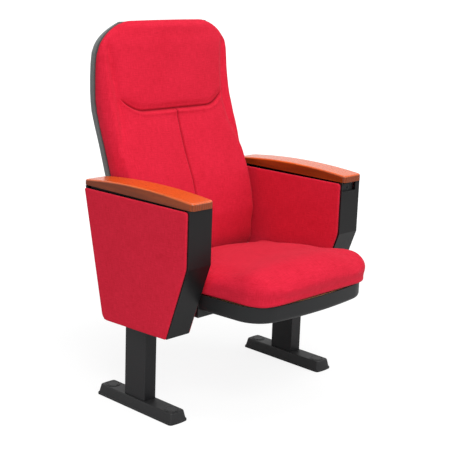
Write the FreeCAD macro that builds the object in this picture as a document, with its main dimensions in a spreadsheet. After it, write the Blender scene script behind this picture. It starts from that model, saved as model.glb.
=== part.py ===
import FreeCAD, Part
import math
import os
import re

import Sketcher

# Tip up auditorium seat: two floor standing arm boxes, a fixed back and a seat that tips up.
# X runs to the right as seen from the front, Y to the back, Z up. The origin is on the floor,
# midway between the four floor bolts. Left and right are as seen from the front.

# Dimensions in millimetres, angles in degrees: name, value, meaning. A value that starts with
# an equals sign follows from others.
SIZES = [
    ("spacing", 600, "centre of one standard to the centre of the other"),
    ("bolt_spread", 240, "between the two floor bolts of a foot"),
    ("bolt_hole", 6.5, "radius of a floor bolt hole"),
    ("plate_half", 24, "half the width of a foot plate"),
    ("plate_reach", 142, "foot plate, centre to its end"),
    ("plate_thick", 6, "thickness of a foot plate"),
    ("foot_half", 32, "half the width of a foot cover at its rim"),
    ("foot_reach", 150, "foot cover, centre to the corners of its ends"),
    ("foot_end", 150, "radius of the rounded end of a foot cover"),
    ("foot_corner", 9, "corner radius of a foot cover in plan"),
    ("foot_rim", 5, "height of the straight rim of a foot cover"),
    ("foot_step", 1.5, "how far the rim stands out"),
    ("foot_high", 30, "height of a foot cover"),
    ("foot_draft", 12, "slope of the sides of a foot cover"),
    ("foot_edge", 4, "rounding of the top edge of a foot cover"),
    ("bolt_cap", 20, "radius of a bolt cap"),
    ("bolt_cap_thick", 9, "thickness of a bolt cap"),
    ("bolt_cap_proud", 1.2, "how far a bolt cap stands above the foot cover"),
    ("ring_out", 17, "outer radius of the groove in a bolt cap"),
    ("ring_in", 15, "inner radius of the groove in a bolt cap"),
    ("play", 0.3, "gap between parts that are laid beside each other"),
    ("column_half", 20, "half the width of a column across"),
    ("column_deep", 80, "depth of a column, front to back"),
    ("column_y", 6, "centre of a column, behind the centre of the bolts"),
    ("column_wall", 3, "wall of a column"),
    ("box_half", 40, "half the width of an arm box between its panels"),
    ("panel_thick", 6, "thickness of an upholstered side panel"),
    ("panel_edge", 2.5, "rounding of the edges of a side panel"),
    ("front_y", -210.5, "front face of the front band"),
    ("front_lap", 5, "front edge of the side panels, behind the front face"),
    ("kink_z", 441, "height of the bend in the front band"),
    ("toe_y", -137.5, "lower end of the front band, its front edge"),
    ("toe_z", 238.5, "lower end of the front band, height"),
    ("heel_y", 114, "lower rear corner of an arm box"),
    ("heel_z", 231, "lower rear corner of an arm box, height"),
    ("heel_round", 22, "radius of the lower rear corner of the panels"),
    ("kink_round", 60, "radius of the bend in the front edge of the panels"),
    ("lip_round", 8, "radius of the upper front corner of the panels"),
    ("panel_front_z", 588, "height of a side panel at its front"),
    ("panel_rear_z", 584, "height of a side panel at its rear"),
    ("hinge_room", 2.5, "top of the right outer panel lower, under the lid hinge"),
    ("rear_tilt", 13, "lean of the rear edge of an arm box, in degrees"),
    ("band_thick", 8, "front band, thickness measured along Y"),
    ("strip_thick", 6, "thickness of the base band and the rear band"),
    ("rail_z", 574, "underside of an arm rail"),
    ("rail_thick", 6, "thickness of an arm rail"),
    ("cap_half", 39, "half the width of an arm cap"),
    ("cap_low", 592, "underside of an arm cap"),
    ("band_top", "=cap_low - 1", "top of the front and rear bands"),
    ("cap_front", -218, "front of an arm cap"),
    ("cap_rear", 206, "rear of an arm cap"),
    ("cap_front_high", 611, "top of an arm cap at its front edge"),
    ("cap_rear_high", 606, "top of an arm cap at its rear edge"),
    ("cap_crown", 1850, "radius of the long curve of an arm cap's top"),
    ("cap_corner", 12, "corner radius of an arm cap in plan"),
    ("cap_edge", 6, "rounding of the top edges of an arm cap"),
    ("spacer_half", 33, "half the width of the strip under the fixed cap"),
    ("leaf_thick", 1.5, "thickness of a hinge leaf"),
    ("leaf_wide", 21, "width of the fixed hinge leaf up to its knuckles"),
    ("knuckle", 3, "outer radius of a hinge knuckle"),
    ("hinge_pin", 1.5, "radius of the lid hinge pin"),
    ("hinge_gap", 1, "between the two closed hinge leaves"),
    ("hinge_out", 4, "hinge axis, outside the edge of the lid"),
    ("hinge_front", -165, "front end of the lid hinge"),
    ("knuckle_long", 65, "length of one of the five knuckles"),
    ("run_fit", 0.05, "radial running clearance of a pin in its bore"),
    ("lid_pad", 9, "radius of a rubber pad under the lid"),
    ("lid_pad_y", 140, "lid pads, distance from the column's centre"),
    ("notch_in", 36, "inner edge of the notch, from the arm's centre"),
    ("notch_out", 22, "outer edge of the notch, from the arm's centre"),
    ("notch_z", 565, "floor of the notch in the front band"),
    ("block_long", 36, "length of the tablet bracket"),
    ("block_low", 560, "underside of the tablet bracket"),
    ("block_gap", 2.5, "notch edge to the tablet bracket"),
    ("tablet_pin_x", 6, "tablet pivot, inward from the arm's centre"),
    ("tablet_pin_z", 573, "tablet pivot, height"),
    ("tablet_pin", 6, "radius of the tablet pivot pin"),
    ("tablet_socket", 2.8, "radius of the socket in the tablet pin"),
    ("tablet_thick", 12, "thickness of the stowed tablet"),
    ("tablet_gap", 2, "tablet to the inner panel"),
    ("tablet_front", -164, "front edge of the stowed tablet"),
    ("tablet_rear", 142, "rear edge of the stowed tablet"),
    ("tablet_low", 358, "lower edge of the stowed tablet"),
    ("tablet_high", 566, "upper edge of the stowed tablet"),
    ("tablet_corner", 40, "corner radius of the tablet"),
    ("tablet_arm_thick", 6, "thickness of the tablet's support arm"),
    ("tablet_arm_deep", 42, "depth of the tablet's support arm"),
    ("tablet_arm_rear", -50, "rear end of the tablet's support arm"),
    ("tablet_rest_thick", 8, "height of the foam rest under the tablet"),
    ("tablet_rest_long", 120, "length of the foam rest under the tablet"),
    ("pivot_y", 21, "seat pivot"),
    ("pivot_z", 327, "seat pivot, height"),
    ("pivot_pin", 8, "radius of the seat pivot pin"),
    ("pivot_flange", 22, "radius of the welded flange of a pivot pin"),
    ("flange_thick", 5, "thickness of the flanges of the pivot pin and the stop peg"),
    ("bush", 12, "outer radius of the nylon bush"),
    ("collar_thick", 3, "thickness of the collar of the bush"),
    ("bush_collar", 15, "radius of the collar of the bush"),
    ("tip_up", 75, "how far the seat tips up, in degrees"),
    ("stop_radius", 36, "stop peg, distance from the seat pivot"),
    ("stop_angle", 205, "direction of the stop peg from the pivot, in degrees from the back"),
    ("stop_peg", 4, "radius of the steel stop peg"),
    ("peg_flange", 9, "radius of the welded flange of the stop peg"),
    ("stop_sleeve", 6, "radius of the rubber sleeve on the stop peg"),
    ("slot_gap", 0.3, "rubber sleeve to the slot in the hinge plate"),
    ("pan_slot_gap", 2, "rubber sleeve to the slot in the wall of the pan"),
    ("hole_gap", 2, "pins to the holes in the inner panels"),
    ("seat_gap", 11.5, "side of the seat pan to an inner panel"),
    ("pan_half", "=spacing / 2 - box_half - panel_thick - seat_gap", "half the seat pan's width"),
    ("pan_draw", 16.5, "how far each side of the seat pan draws in towards its front"),
    ("pan_front_half", "=pan_half - pan_draw", "half the width of the seat pan at its front"),
    ("pan_rear", 76, "rear of the seat pan"),
    ("pan_bend", -130, "where the sides of the seat pan start to draw in"),
    ("pan_front", -344, "front corners of the seat pan"),
    ("pan_bow", 1150, "radius of the front edge of the seat pan"),
    ("pan_corner", 82, "radius of the front corners of the seat pan"),
    ("pan_rear_corner", 18, "radius of the rear corners of the seat pan"),
    ("pan_top", 345, "upper rim of the seat pan"),
    ("pan_low", 300, "underside of the front of the seat pan"),
    ("belly_low", 276, "underside of the rear of the seat pan"),
    ("belly_front", -152, "front of the deeper rear part of the pan"),
    ("pan_wall", 3, "wall of the seat pan"),
    ("pan_edge", 12, "rounding of the lower edge of the seat pan"),
    ("board_in", 18.5, "side of the seat board, inside the pan's outer side"),
    ("board_half", "=pan_half - board_in", "half the width of the seat board"),
    ("board_thick", 12, "thickness of the seat board"),
    ("hinge_in", 8.5, "outer face of a seat hinge plate, inside the pan's outer side"),
    ("plate_x", "=pan_half - hinge_in", "outer face of a seat hinge plate, from the middle"),
    ("hinge_plate", 6, "thickness of a seat hinge plate"),
    ("hinge_low", 280.5, "lower edge of a seat hinge plate"),
    ("hinge_top", 344.5, "upper edge of a seat hinge plate"),
    ("hinge_fore", -110, "front end of a seat hinge plate"),
    ("hinge_aft", 68, "rear end of a seat hinge plate"),
    ("flange_wide", 40, "width of the flange under the seat board"),
    ("screw", 2.5, "radius of a seat screw"),
    ("screw_head", 5, "radius of a seat screw's head"),
    ("screw_head_high", 3, "height of a seat screw's head"),
    ("screw_long", 12, "length of a seat screw above its head"),
    ("screw_fore", -80, "foremost seat screws"),
    ("screw_mid", -40, "middle seat screws"),
    ("screw_aft", 50, "rearmost seat screws"),
    ("flange_thick_seat", 4, "thickness of the flange under the seat board"),
    ("cushion_gap", 0.4, "soft parts to what they lie on"),
    ("seat_edge_drop", 13, "edge of the seat cushion below its crown"),
    ("seat_high", 85, "height of the seat cushion at its highest"),
    ("seat_over", 36, "how far the seat cushion stands out in front of the pan's corners"),
    ("seat_corner", 92, "how far the front corners of the seat cushion draw in"),
    ("seat_bulge", 12, "how far the sides of the seat cushion swell"),
    ("back_gap", 7, "side of the back to an inner panel"),
    ("back_half", "=spacing / 2 - box_half - panel_thick - back_gap", "half the back's width"),
    ("back_swell", 3, "how much further each side of the back stands out above the arms"),
    ("back_corner_high", 119, "height of the rounded upper corners of the back"),
    ("back_corner_in", 94, "how far the upper corners of the back draw in"),
    ("back_bow", 69, "how far the back leans back above the arms, at its furthest"),
    ("back_depth", 96, "depth of the back cushion at its thickest"),
    ("back_trim", 16, "how far the lower and upper edges of the back cushion draw in"),
    ("back_round", 14, "how far in from its side the front of the back cushion turns"),
    ("back_heel", 4, "how far the sides of the back cushion draw in at the shell"),
    ("back_low", 346, "lower edge of the back shell"),
    ("back_top", 1024, "top of the back cushion"),
    ("shell_thick", 29, "depth of the back shell at its rim"),
    ("shell_top_thick", 10, "depth of the back shell's rim at the top"),
    ("shell_side", 12, "how far the rear edges of the back shell are drawn in"),
    ("shell_lap", 40, "rear face of the shell behind the rear edge of the arms"),
    ("board_inset", 22, "edge of the back board inside the rim of the shell"),
    ("back_board_thick", 10, "thickness of the back board"),
    ("back_crown", 16, "crown of the back cushion across its width"),
    ("seam_z", 775, "height of the cross seam"),
    ("seam_deep", 8, "depth of the cross seam"),
    ("seam_wide", 9, "half the width of the cross seam"),
    ("channel_deep", 5, "depth of the seam down the middle"),
    ("bracket_thick", 5, "thickness of a back bracket"),
    ("bracket_web", 3.5, "thickness of the web of a back bracket"),
    ("bracket_low", 250, "lower edge of a back bracket, along the rear of the arm"),
    ("bracket_high", 340, "upper edge of a back bracket, along the rear of the arm"),
    ("bracket_out", 30, "outer end of a back bracket, from the arm's centre"),
    ("bracket_in", 185, "inner end of a back bracket, from the middle"),
    ("bolt", 4, "radius of a back bolt"),
    ("bolt_head", 7.5, "radius of the head of a back bolt"),
    ("bolt_head_high", 4.5, "height of the head of a back bolt"),
    ("bolt_long", 14, "length of a back bolt under its head"),
    ("bolt_in", 20, "back bolts, distance from the ends of the bracket"),
]
NAMES = {name for name, value, meaning in SIZES}
SIDES = ("left", "right")

doc = FreeCAD.newDocument("tip_up_seat")
sheet = doc.addObject("Spreadsheet::Sheet", "Sizes")
for row, (name, value, meaning) in enumerate(SIZES, start=1):
    sheet.set("A%d" % row, name)
    sheet.set("B%d" % row, str(value))
    sheet.set("C%d" % row, meaning)
    sheet.setAlias("B%d" % row, name)
doc.recompute()

parts = {}


def rule(text):
    """Expression in which every name of a size points at its cell in the sheet."""
    return re.sub(r"[a-z_]*[a-z]", lambda word: prefixed(word.group()), text)


def prefixed(word):
    """A size's name with the sheet before it; any other word as it is."""
    return "Sizes." + word if word in NAMES else word


def size(text):
    """Value of a rule in millimetres or degrees."""
    return float(sheet.evalExpression(rule(text)))


def keep(name, thing):
    """Name the object as a finished piece."""
    thing.Label = name
    parts[name] = thing
    return thing


def across(side, near, far):
    """X from low to high of something that lies between two distances from the middle."""
    if side == "left":
        return "-(%s)" % far, "-(%s)" % near
    return near, far


def block(name, x, y, z):
    """Box between a low and a high rule on each axis."""
    made = doc.addObject("Part::Box", name)
    for axis, length, (low, high) in zip("xyz", ("Length", "Width", "Height"), (x, y, z)):
        made.setExpression("Placement.Base." + axis, rule(low))
        made.setExpression(length, rule("(%s) - (%s)" % (high, low)))
    return made


def rod(name, radius, x, y, z, axis):
    """Cylinder along an axis; the rule of that axis is a pair, low and high."""
    made = doc.addObject("Part::Cylinder", name)
    turn = {"x": ((0, 1, 0), 90), "y": ((1, 0, 0), -90), "z": ((0, 0, 1), 0)}[axis]
    made.Placement = FreeCAD.Placement(
        FreeCAD.Vector(), FreeCAD.Rotation(FreeCAD.Vector(*turn[0]), turn[1])
    )
    made.setExpression("Radius", rule(radius))
    for letter, where in zip("xyz", (x, y, z)):
        low = where[0] if letter == axis else where
        made.setExpression("Placement.Base." + letter, rule(low))
        if letter == axis:
            made.setExpression("Height", rule("(%s) - (%s)" % (where[1], where[0])))
    return made


def joined(name, pieces):
    """One solid of overlapping pieces."""
    made = doc.addObject("Part::MultiFuse", name)
    made.Shapes = pieces
    return made


def grouped(name, pieces):
    """Separate solids that share one piece's name."""
    made = doc.addObject("Part::Compound", name)
    made.Links = pieces
    return made


def cut(name, base, *tools):
    """Base with each tool taken away."""
    for count, tool in enumerate(tools, start=1):
        made = doc.addObject("Part::Cut", "%s_cut_%d" % (name, count))
        made.Base = base
        made.Tool = tool
        base = made
    return base


def copied(name, source):
    """Second use of a tool's shape, linked to the first."""
    made = doc.addObject("Part::Compound", name)
    made.Links = [source]
    return made


def outline(body, plane, corners, lift=None):
    """Closed sketch on a plane of the body. A corner is a pair of rules; a third rule
    makes the edge that follows it an arc of that radius, bulging out of the outline."""
    sketch = body.newObject("Sketcher::SketchObject", body.Name + "_sketch")
    origin = [part for part in body.Origin.OriginFeatures if part.Role == plane]
    sketch.AttachmentSupport = [(origin[0], "")]
    sketch.MapMode = "FlatFace"
    if lift:
        sketch.setExpression("AttachmentOffset.Base.z", rule(lift))
    points = [FreeCAD.Vector(size(corner[0]), size(corner[1]), 0) for corner in corners]
    around = sum(
        here.x * there.y - there.x * here.y
        for here, there in zip(points, points[1:] + points[:1])
    )
    ends = []
    for index, corner in enumerate(corners):
        here, there = points[index], points[(index + 1) % len(points)]
        if len(corner) == 2:
            edge = sketch.addGeometry(Part.LineSegment(here, there), False)
            ends.append(((edge, 1), (edge, 2)))
            continue
        radius = size(corner[2])
        inward = (there - here).cross(FreeCAD.Vector(0, 0, -1 if around > 0 else 1))
        inward.normalize()
        rise = math.sqrt(radius**2 - ((there - here).Length / 2) ** 2)
        centre = (here + there) * 0.5 + inward * rise
        start, stop = (here, there) if around > 0 else (there, here)
        angles = [math.atan2(end.y - centre.y, end.x - centre.x) for end in (start, stop)]
        circle = Part.Circle(centre, FreeCAD.Vector(0, 0, 1), radius)
        edge = sketch.addGeometry(Part.ArcOfCircle(circle, angles[0], angles[1]), False)
        first = sketch.addConstraint(Sketcher.Constraint("Radius", edge, radius))
        sketch.setExpression("Constraints[%d]" % first, rule(corner[2]))
        ends.append(((edge, 1), (edge, 2)) if around > 0 else ((edge, 2), (edge, 1)))
    for index, corner in enumerate(corners):
        begin, before = ends[index][0], ends[index - 1][1]
        sketch.addConstraint(Sketcher.Constraint("Coincident", *before, *begin))
        for kind, text in zip(("DistanceX", "DistanceY"), corner[:2]):
            held = Sketcher.Constraint(kind, -1, 1, *begin, size(text))
            number = sketch.addConstraint(held)
            sketch.setExpression("Constraints[%d]" % number, rule(text))
    return sketch


def padded(body, sketch, length, draft=None):
    """Sketch drawn out along its plane's normal."""
    pad = body.newObject("PartDesign::Pad", body.Name + "_pad")
    pad.Profile = sketch
    pad.setExpression("Length", rule(length))
    if draft:
        pad.setExpression("TaperAngle", rule(draft))
    doc.recompute()
    return pad


def rounded(body, radius, wanted):
    """Fillet on the edges of the body that the test picks."""
    doc.recompute()
    base = body.Tip
    names = ["Edge%d" % n for n, edge in enumerate(base.Shape.Edges, 1) if wanted(edge)]
    fillet = body.newObject("PartDesign::Fillet", body.Name + "_fillet")
    fillet.Base = (base, names)
    fillet.setExpression("Radius", rule(radius))
    doc.recompute()
    return fillet


def at_corner(axis, first, second):
    """Test for the straight edge along an axis through a corner of the outline."""
    spots = {"x": ("y", "z"), "y": ("x", "z"), "z": ("x", "y")}[axis]
    where = [size(first), size(second)]

    def wanted(edge):
        start, stop = edge.Vertexes[0].Point, edge.Vertexes[-1].Point
        return all(
            abs(getattr(end, letter) - place) < 0.01
            for end in (start, stop)
            for letter, place in zip(spots, where)
        )

    return wanted


def on_plane(axis, place):
    """Test for the edges that lie in a plane square to an axis."""
    level = size(place)
    return lambda edge: all(abs(getattr(end.Point, axis) - level) < 0.01 for end in edge.Vertexes)


def prism(name, side, near, far, corners):
    """Body whose outline in Y and Z is drawn out between two distances from the middle."""
    low, high = across(side, near, far)
    body = doc.addObject("PartDesign::Body", name)
    padded(body, outline(body, "YZ_Plane", corners), "(%s) - (%s)" % (high, low))
    body.setExpression("Placement.Base.x", rule(low))
    return body


def turned_rods(name, side, pieces, y, z):
    """Coaxial discs along X fused to one turned piece; each has a radius, near and far."""
    made = []
    for count, (radius, near, far) in enumerate(pieces, start=1):
        reach = across(side, near, far)
        made.append(rod("%s_disc_%d" % (name, count), radius, reach, y, z, "x"))
    return joined(name, made) if len(made) > 1 else made[0]


def loft(name, wires):
    """Closed solid through the wires in turn."""
    made = doc.addObject("Part::Feature", name)
    made.Shape = Part.makeLoft(wires, True, True)
    made.Placement = FreeCAD.Placement()
    return made


def eased(stations, at):
    """Values between stations, whose first number is where they stand, on a smooth curve
    that never swings past its stations."""
    places = [station[0] for station in stations]
    last = len(places) - 2
    index = min(max(sum(place <= at for place in places) - 1, 0), last)
    span = places[index + 1] - places[index]
    part = min(max((at - places[index]) / span, 0), 1)
    values = []
    for column in range(1, len(stations[0])):
        slopes = [
            (after[column] - before[column]) / (after[0] - before[0])
            for before, after in zip(stations, stations[1:])
        ]
        ends = []
        for corner in (index, index + 1):
            left, right = slopes[max(corner - 1, 0)], slopes[min(corner, last)]
            mean = 2 * left * right / (left + right) if left * right > 0 else 0
            ends.append(mean * span)
        low, high = stations[index][column], stations[index + 1][column]
        fall = (1 - part) ** 2
        values.append(
            low * (1 + 2 * part) * fall
            + ends[0] * part * fall
            + high * part**2 * (3 - 2 * part)
            - ends[1] * part**2 * (1 - part)
        )
    return values


MIDDLE = "spacing / 2"


# Feet: a steel plate under each column, its moulded cover and the caps over its bolts
def shoe(name, centre, inset, low, length):
    """Layer of a foot cover: straight sided at the rim, drafted and rounded above it."""
    wide, long = "foot_half - %s" % inset, "foot_reach - %s" % inset
    body = doc.addObject("PartDesign::Body", name)
    corners = [
        ("-(%s)" % wide, "-(%s)" % long, "foot_end"),
        (wide, "-(%s)" % long),
        (wide, long, "foot_end"),
        ("-(%s)" % wide, long),
    ]
    drafted = inset != "0"
    draft = "-foot_draft" if drafted else None
    padded(body, outline(body, "XY_Plane", corners, low), length, draft)
    upright = lambda edge: abs(edge.Vertexes[0].Point.z - edge.Vertexes[-1].Point.z) > 2
    rounded(body, "foot_corner", upright)
    if drafted:
        rounded(body, "foot_edge", on_plane("z", "foot_high"))
    body.setExpression("Placement.Base.x", rule(centre))
    return body


def foot(side):
    sign = "-" if side == "left" else ""
    centre = "%sspacing / 2" % sign
    plate = block(
        side + "_plate",
        ("%s - plate_half" % centre, "%s + plate_half" % centre),
        ("-plate_reach", "plate_reach"),
        ("0", "plate_thick"),
    )
    holes = [
        rod(
            "%s_floor_hole_%s" % (side, end),
            "bolt_hole",
            centre,
            way + "bolt_spread / 2",
            ("-1", "plate_thick + 1"),
            "z",
        )
        for end, way in (("front", "-"), ("rear", ""))
    ]
    keep(side + "_foot_plate", cut(side + "_plate", plate, *holes))

    cover = joined(
        side + "_cover_solid",
        [
            shoe(side + "_rim", centre, "0", "0", "foot_rim"),
            shoe(side + "_shoe", centre, "foot_step", "foot_rim - 1", "foot_high - foot_rim + 1"),
        ],
    )
    recess = block(
        side + "_recess",
        ("%s - plate_half - play" % centre, "%s + plate_half + play" % centre),
        ("-plate_reach - play", "plate_reach + play"),
        ("-1", "plate_thick + play"),
    )
    sleeve = block(
        side + "_sleeve",
        ("%s - column_half - play" % centre, "%s + column_half + play" % centre),
        ("column_y - column_deep / 2 - play", "column_y + column_deep / 2 + play"),
        ("0", "foot_high + 1"),
    )
    wells, caps = [], []
    for end, way in (("front", "-"), ("rear", "")):
        place = way + "bolt_spread / 2"
        label = "%s_%s" % (side, end)
        depth = ("0", "foot_high + 1")
        wells.append(rod(label + "_well", "bolt_cap + run_fit", centre, place, depth, "z"))
        high = "foot_high + bolt_cap_proud"
        lift = ("%s - bolt_cap_thick" % high, high)
        disc = rod(label + "_cap_disc", "bolt_cap", centre, place, lift, "z")
        groove = ("foot_high", "%s + 1" % high)
        ring = cut(
            label + "_groove",
            rod(label + "_ring_outer", "ring_out", centre, place, groove, "z"),
            rod(label + "_ring_inner", "ring_in", centre, place, groove, "z"),
        )
        caps.append(cut(label + "_cap", disc, ring))
    keep(side + "_foot_cover", cut(side + "_cover", cover, recess, sleeve, *wells))
    keep(side + "_bolt_caps", grouped(side + "_bolt_caps", caps))


# Columns: rectangular tube from the foot plate to the arm rail
def column(side):
    sign = "-" if side == "left" else ""
    centre = "%sspacing / 2" % sign

    def tube(name, inset, low, high):
        return block(
            name,
            ("%s - column_half + %s" % (centre, inset), "%s + column_half - %s" % (centre, inset)),
            (
                "column_y - column_deep / 2 + %s" % inset,
                "column_y + column_deep / 2 - %s" % inset,
            ),
            (low, high),
        )

    outer = tube(side + "_tube", "0", "plate_thick", "rail_z")
    hollow = tube(side + "_hollow", "column_wall", "0", "rail_z + 1")
    keep(side + "_column", cut(side + "_column", outer, hollow))


# Arm boxes: a bent front band, base and rear bands, a rail and two upholstered panels
def arm_box(side):
    near, far = MIDDLE + " - box_half", MIDDLE + " + box_half"
    front = prism(
        side + "_front_band",
        side,
        near,
        far,
        [
            ("front_y", "band_top"),
            ("front_y", "kink_z"),
            ("toe_y", "toe_z"),
            ("toe_y + band_thick", "toe_z"),
            ("front_y + band_thick", "kink_z"),
            ("front_y + band_thick", "band_top"),
        ],
    )
    if side == "right":
        notch = block(
            "notch",
            (MIDDLE + " - notch_in", MIDDLE + " + notch_out"),
            ("front_y - 1", "front_y + band_thick + 1"),
            ("notch_z", "band_top + 1"),
        )
        front = cut("notched_band", front, notch)
    keep(side + "_front_band", front)

    start = "toe_y + band_thick"
    end = "heel_y - strip_thick"
    base = prism(
        side + "_base_band",
        side,
        near,
        far,
        [
            (start, "toe_z"),
            (end, "heel_z"),
            (end, "heel_z + strip_thick"),
            (start, "toe_z + strip_thick"),
        ],
    )
    sleeve = block(
        side + "_base_sleeve",
        across(side, MIDDLE + " - column_half", MIDDLE + " + column_half"),
        ("column_y - column_deep / 2", "column_y + column_deep / 2"),
        ("heel_z - 5", "toe_z + strip_thick + 5"),
    )
    keep(side + "_base_band", cut(side + "_base", base, sleeve))

    top_y = "heel_y + (band_top - heel_z) * tan(rear_tilt)"
    rear = prism(
        side + "_rear_band",
        side,
        near,
        far,
        [
            (end, "heel_z"),
            ("heel_y", "heel_z"),
            (top_y, "band_top"),
            (top_y + " - strip_thick", "band_top"),
        ],
    )
    keep(side + "_rear_band", rear)

    rail_rear = "heel_y + (rail_z - heel_z) * tan(rear_tilt) - strip_thick"
    rail_near = near if side == "left" else MIDDLE + " - column_half"
    rail_front = "front_y + band_thick"
    if side == "right":
        rail_front = "front_y + band_thick + block_long"
    rail = block(
        side + "_arm_rail",
        across(side, rail_near, far),
        (rail_front, rail_rear),
        ("rail_z", "rail_z + rail_thick"),
    )
    keep(side + "_arm_rail", rail)


# Side panels: padded boards outside the box, the inner ones bored for the pivot and the stop
def panel(side, face):
    near, far = MIDDLE + " + box_half", MIDDLE + " + box_half + panel_thick"
    if face == "inner":
        near, far = MIDDLE + " - box_half - panel_thick", MIDDLE + " - box_half"
    drop = " - hinge_room" if (side, face) == ("right", "outer") else ""
    top_y = "heel_y + (panel_rear_z%s - heel_z) * tan(rear_tilt)" % drop
    corners = [
        ("front_y + front_lap", "panel_front_z" + drop),
        ("front_y + front_lap", "kink_z"),
        ("toe_y + 2", "toe_z"),
        ("heel_y", "heel_z"),
        (top_y, "panel_rear_z" + drop),
    ]
    name = "%s_%s_panel" % (side, face)
    body = prism(name + "_body", side, near, far, corners)
    rounded(body, "heel_round", at_corner("x", *corners[3]))
    rounded(body, "kink_round", at_corner("x", *corners[1]))
    rounded(body, "lip_round", at_corner("x", *corners[0]))
    outward = (side == "left") == (face == "outer")
    shown = "0" if outward else "panel_thick"
    rounded(body, "panel_edge", on_plane("x", shown))
    if face == "outer":
        return keep(name, body)
    reach = across(side, near + " - 1", far + " + 1")
    bores = [
        rod(name + "_pivot_bore", "pivot_pin + hole_gap", reach, "pivot_y", "pivot_z", "x"),
        rod(name + "_stop_bore", "stop_peg + hole_gap", reach, STOP_Y, STOP_Z, "x"),
    ]
    return keep(name, cut(name, body, *bores))


STOP_Y = "pivot_y + stop_radius * cos(stop_angle)"
STOP_Z = "pivot_z + stop_radius * sin(stop_angle)"


# Arm caps: rounded wooden boards, the left one fixed on a strip, the right one a lid
def cap(side, name):
    near, far = MIDDLE + " - cap_half", MIDDLE + " + cap_half"
    corners = [
        ("cap_front", "cap_low"),
        ("cap_rear", "cap_low"),
        ("cap_rear", "cap_rear_high", "cap_crown"),
        ("cap_front", "cap_front_high"),
    ]
    body = prism(name, side, near, far, corners)
    upright = lambda edge: edge.Vertexes[0].Point.sub(edge.Vertexes[-1].Point).Length < size(
        "cap_front_high - cap_low + 1"
    ) and abs(edge.Vertexes[0].Point.z - edge.Vertexes[-1].Point.z) > size("cap_edge")
    rounded(body, "cap_corner", upright)
    raised = lambda edge: min(end.Point.z for end in edge.Vertexes) > size("cap_low + 2")
    rounded(body, "cap_edge", raised)
    return keep(name, body)


def left_cap():
    cap("left", "left_arm_cap")
    strip = block(
        "spacer",
        across("left", MIDDLE + " - spacer_half", MIDDLE + " + spacer_half"),
        ("cap_front + cap_corner * 2", "cap_rear - cap_corner * 2"),
        ("rail_z + rail_thick", "cap_low"),
    )
    keep("left_cap_spacer", strip)


# Lid hinge: a long butt hinge along the outer edge of the right arm
HINGE_X = MIDDLE + " + cap_half + hinge_out"
HINGE_Z = "cap_low - leaf_thick * 2 - hinge_gap + knuckle"
LEAF_END = HINGE_X + " - knuckle - play"


def leaf(name, low, high, inner, knuckles):
    """Hinge leaf: a plate, its tabs and its knuckles, bored for the pin."""
    length = ("hinge_front", "hinge_front + knuckle_long * 5")
    pieces = [block(name + "_plate", (inner, LEAF_END), length, (low, high))]
    for number in knuckles:
        start = "hinge_front + knuckle_long * %d + play" % number
        stop = "hinge_front + knuckle_long * %d - play" % (number + 1)
        label = "%s_%d" % (name, number)
        reach = (LEAF_END + " - 1", HINGE_X)
        pieces.append(block(label + "_tab", reach, (start, stop), (low, high)))
        pieces.append(rod(label + "_knuckle", "knuckle", HINGE_X, (start, stop), HINGE_Z, "y"))
    bore = rod(
        name + "_bore",
        "hinge_pin + run_fit",
        HINGE_X,
        ("hinge_front - 1", length[1] + " + 1"),
        HINGE_Z,
        "y",
    )
    return keep(name, cut(name + "_bored", joined(name + "_solid", pieces), bore))


def right_lid():
    cap("right", "right_arm_lid")
    leaf_low = "cap_low - leaf_thick * 2 - hinge_gap"
    inner = HINGE_X + " - knuckle - leaf_wide"
    leaf("lid_fixed_leaf", leaf_low, leaf_low + " + leaf_thick", inner, (0, 2, 4))
    leaf("lid_moving_leaf", "cap_low - leaf_thick", "cap_low", inner + " - 4", (1, 3))
    ends = ("hinge_front", "hinge_front + knuckle_long * 5")
    keep("lid_hinge_pin", rod("lid_pin", "hinge_pin", HINGE_X, ends, HINGE_Z, "y"))
    bar = block(
        "hinge_bar",
        (inner, MIDDLE + " + box_half"),
        ends,
        ("rail_z + rail_thick", leaf_low),
    )
    keep("lid_hinge_bar", bar)
    pads = []
    for end, way in (("front", "-"), ("rear", "+")):
        place = "column_y %s lid_pad_y" % way
        lift = ("rail_z + rail_thick", "cap_low")
        pads.append(rod("lid_pad_" + end, "lid_pad", MIDDLE + " - lid_pad", place, lift, "z"))
    keep("lid_rest_pads", grouped("lid_pads", pads))


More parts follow.
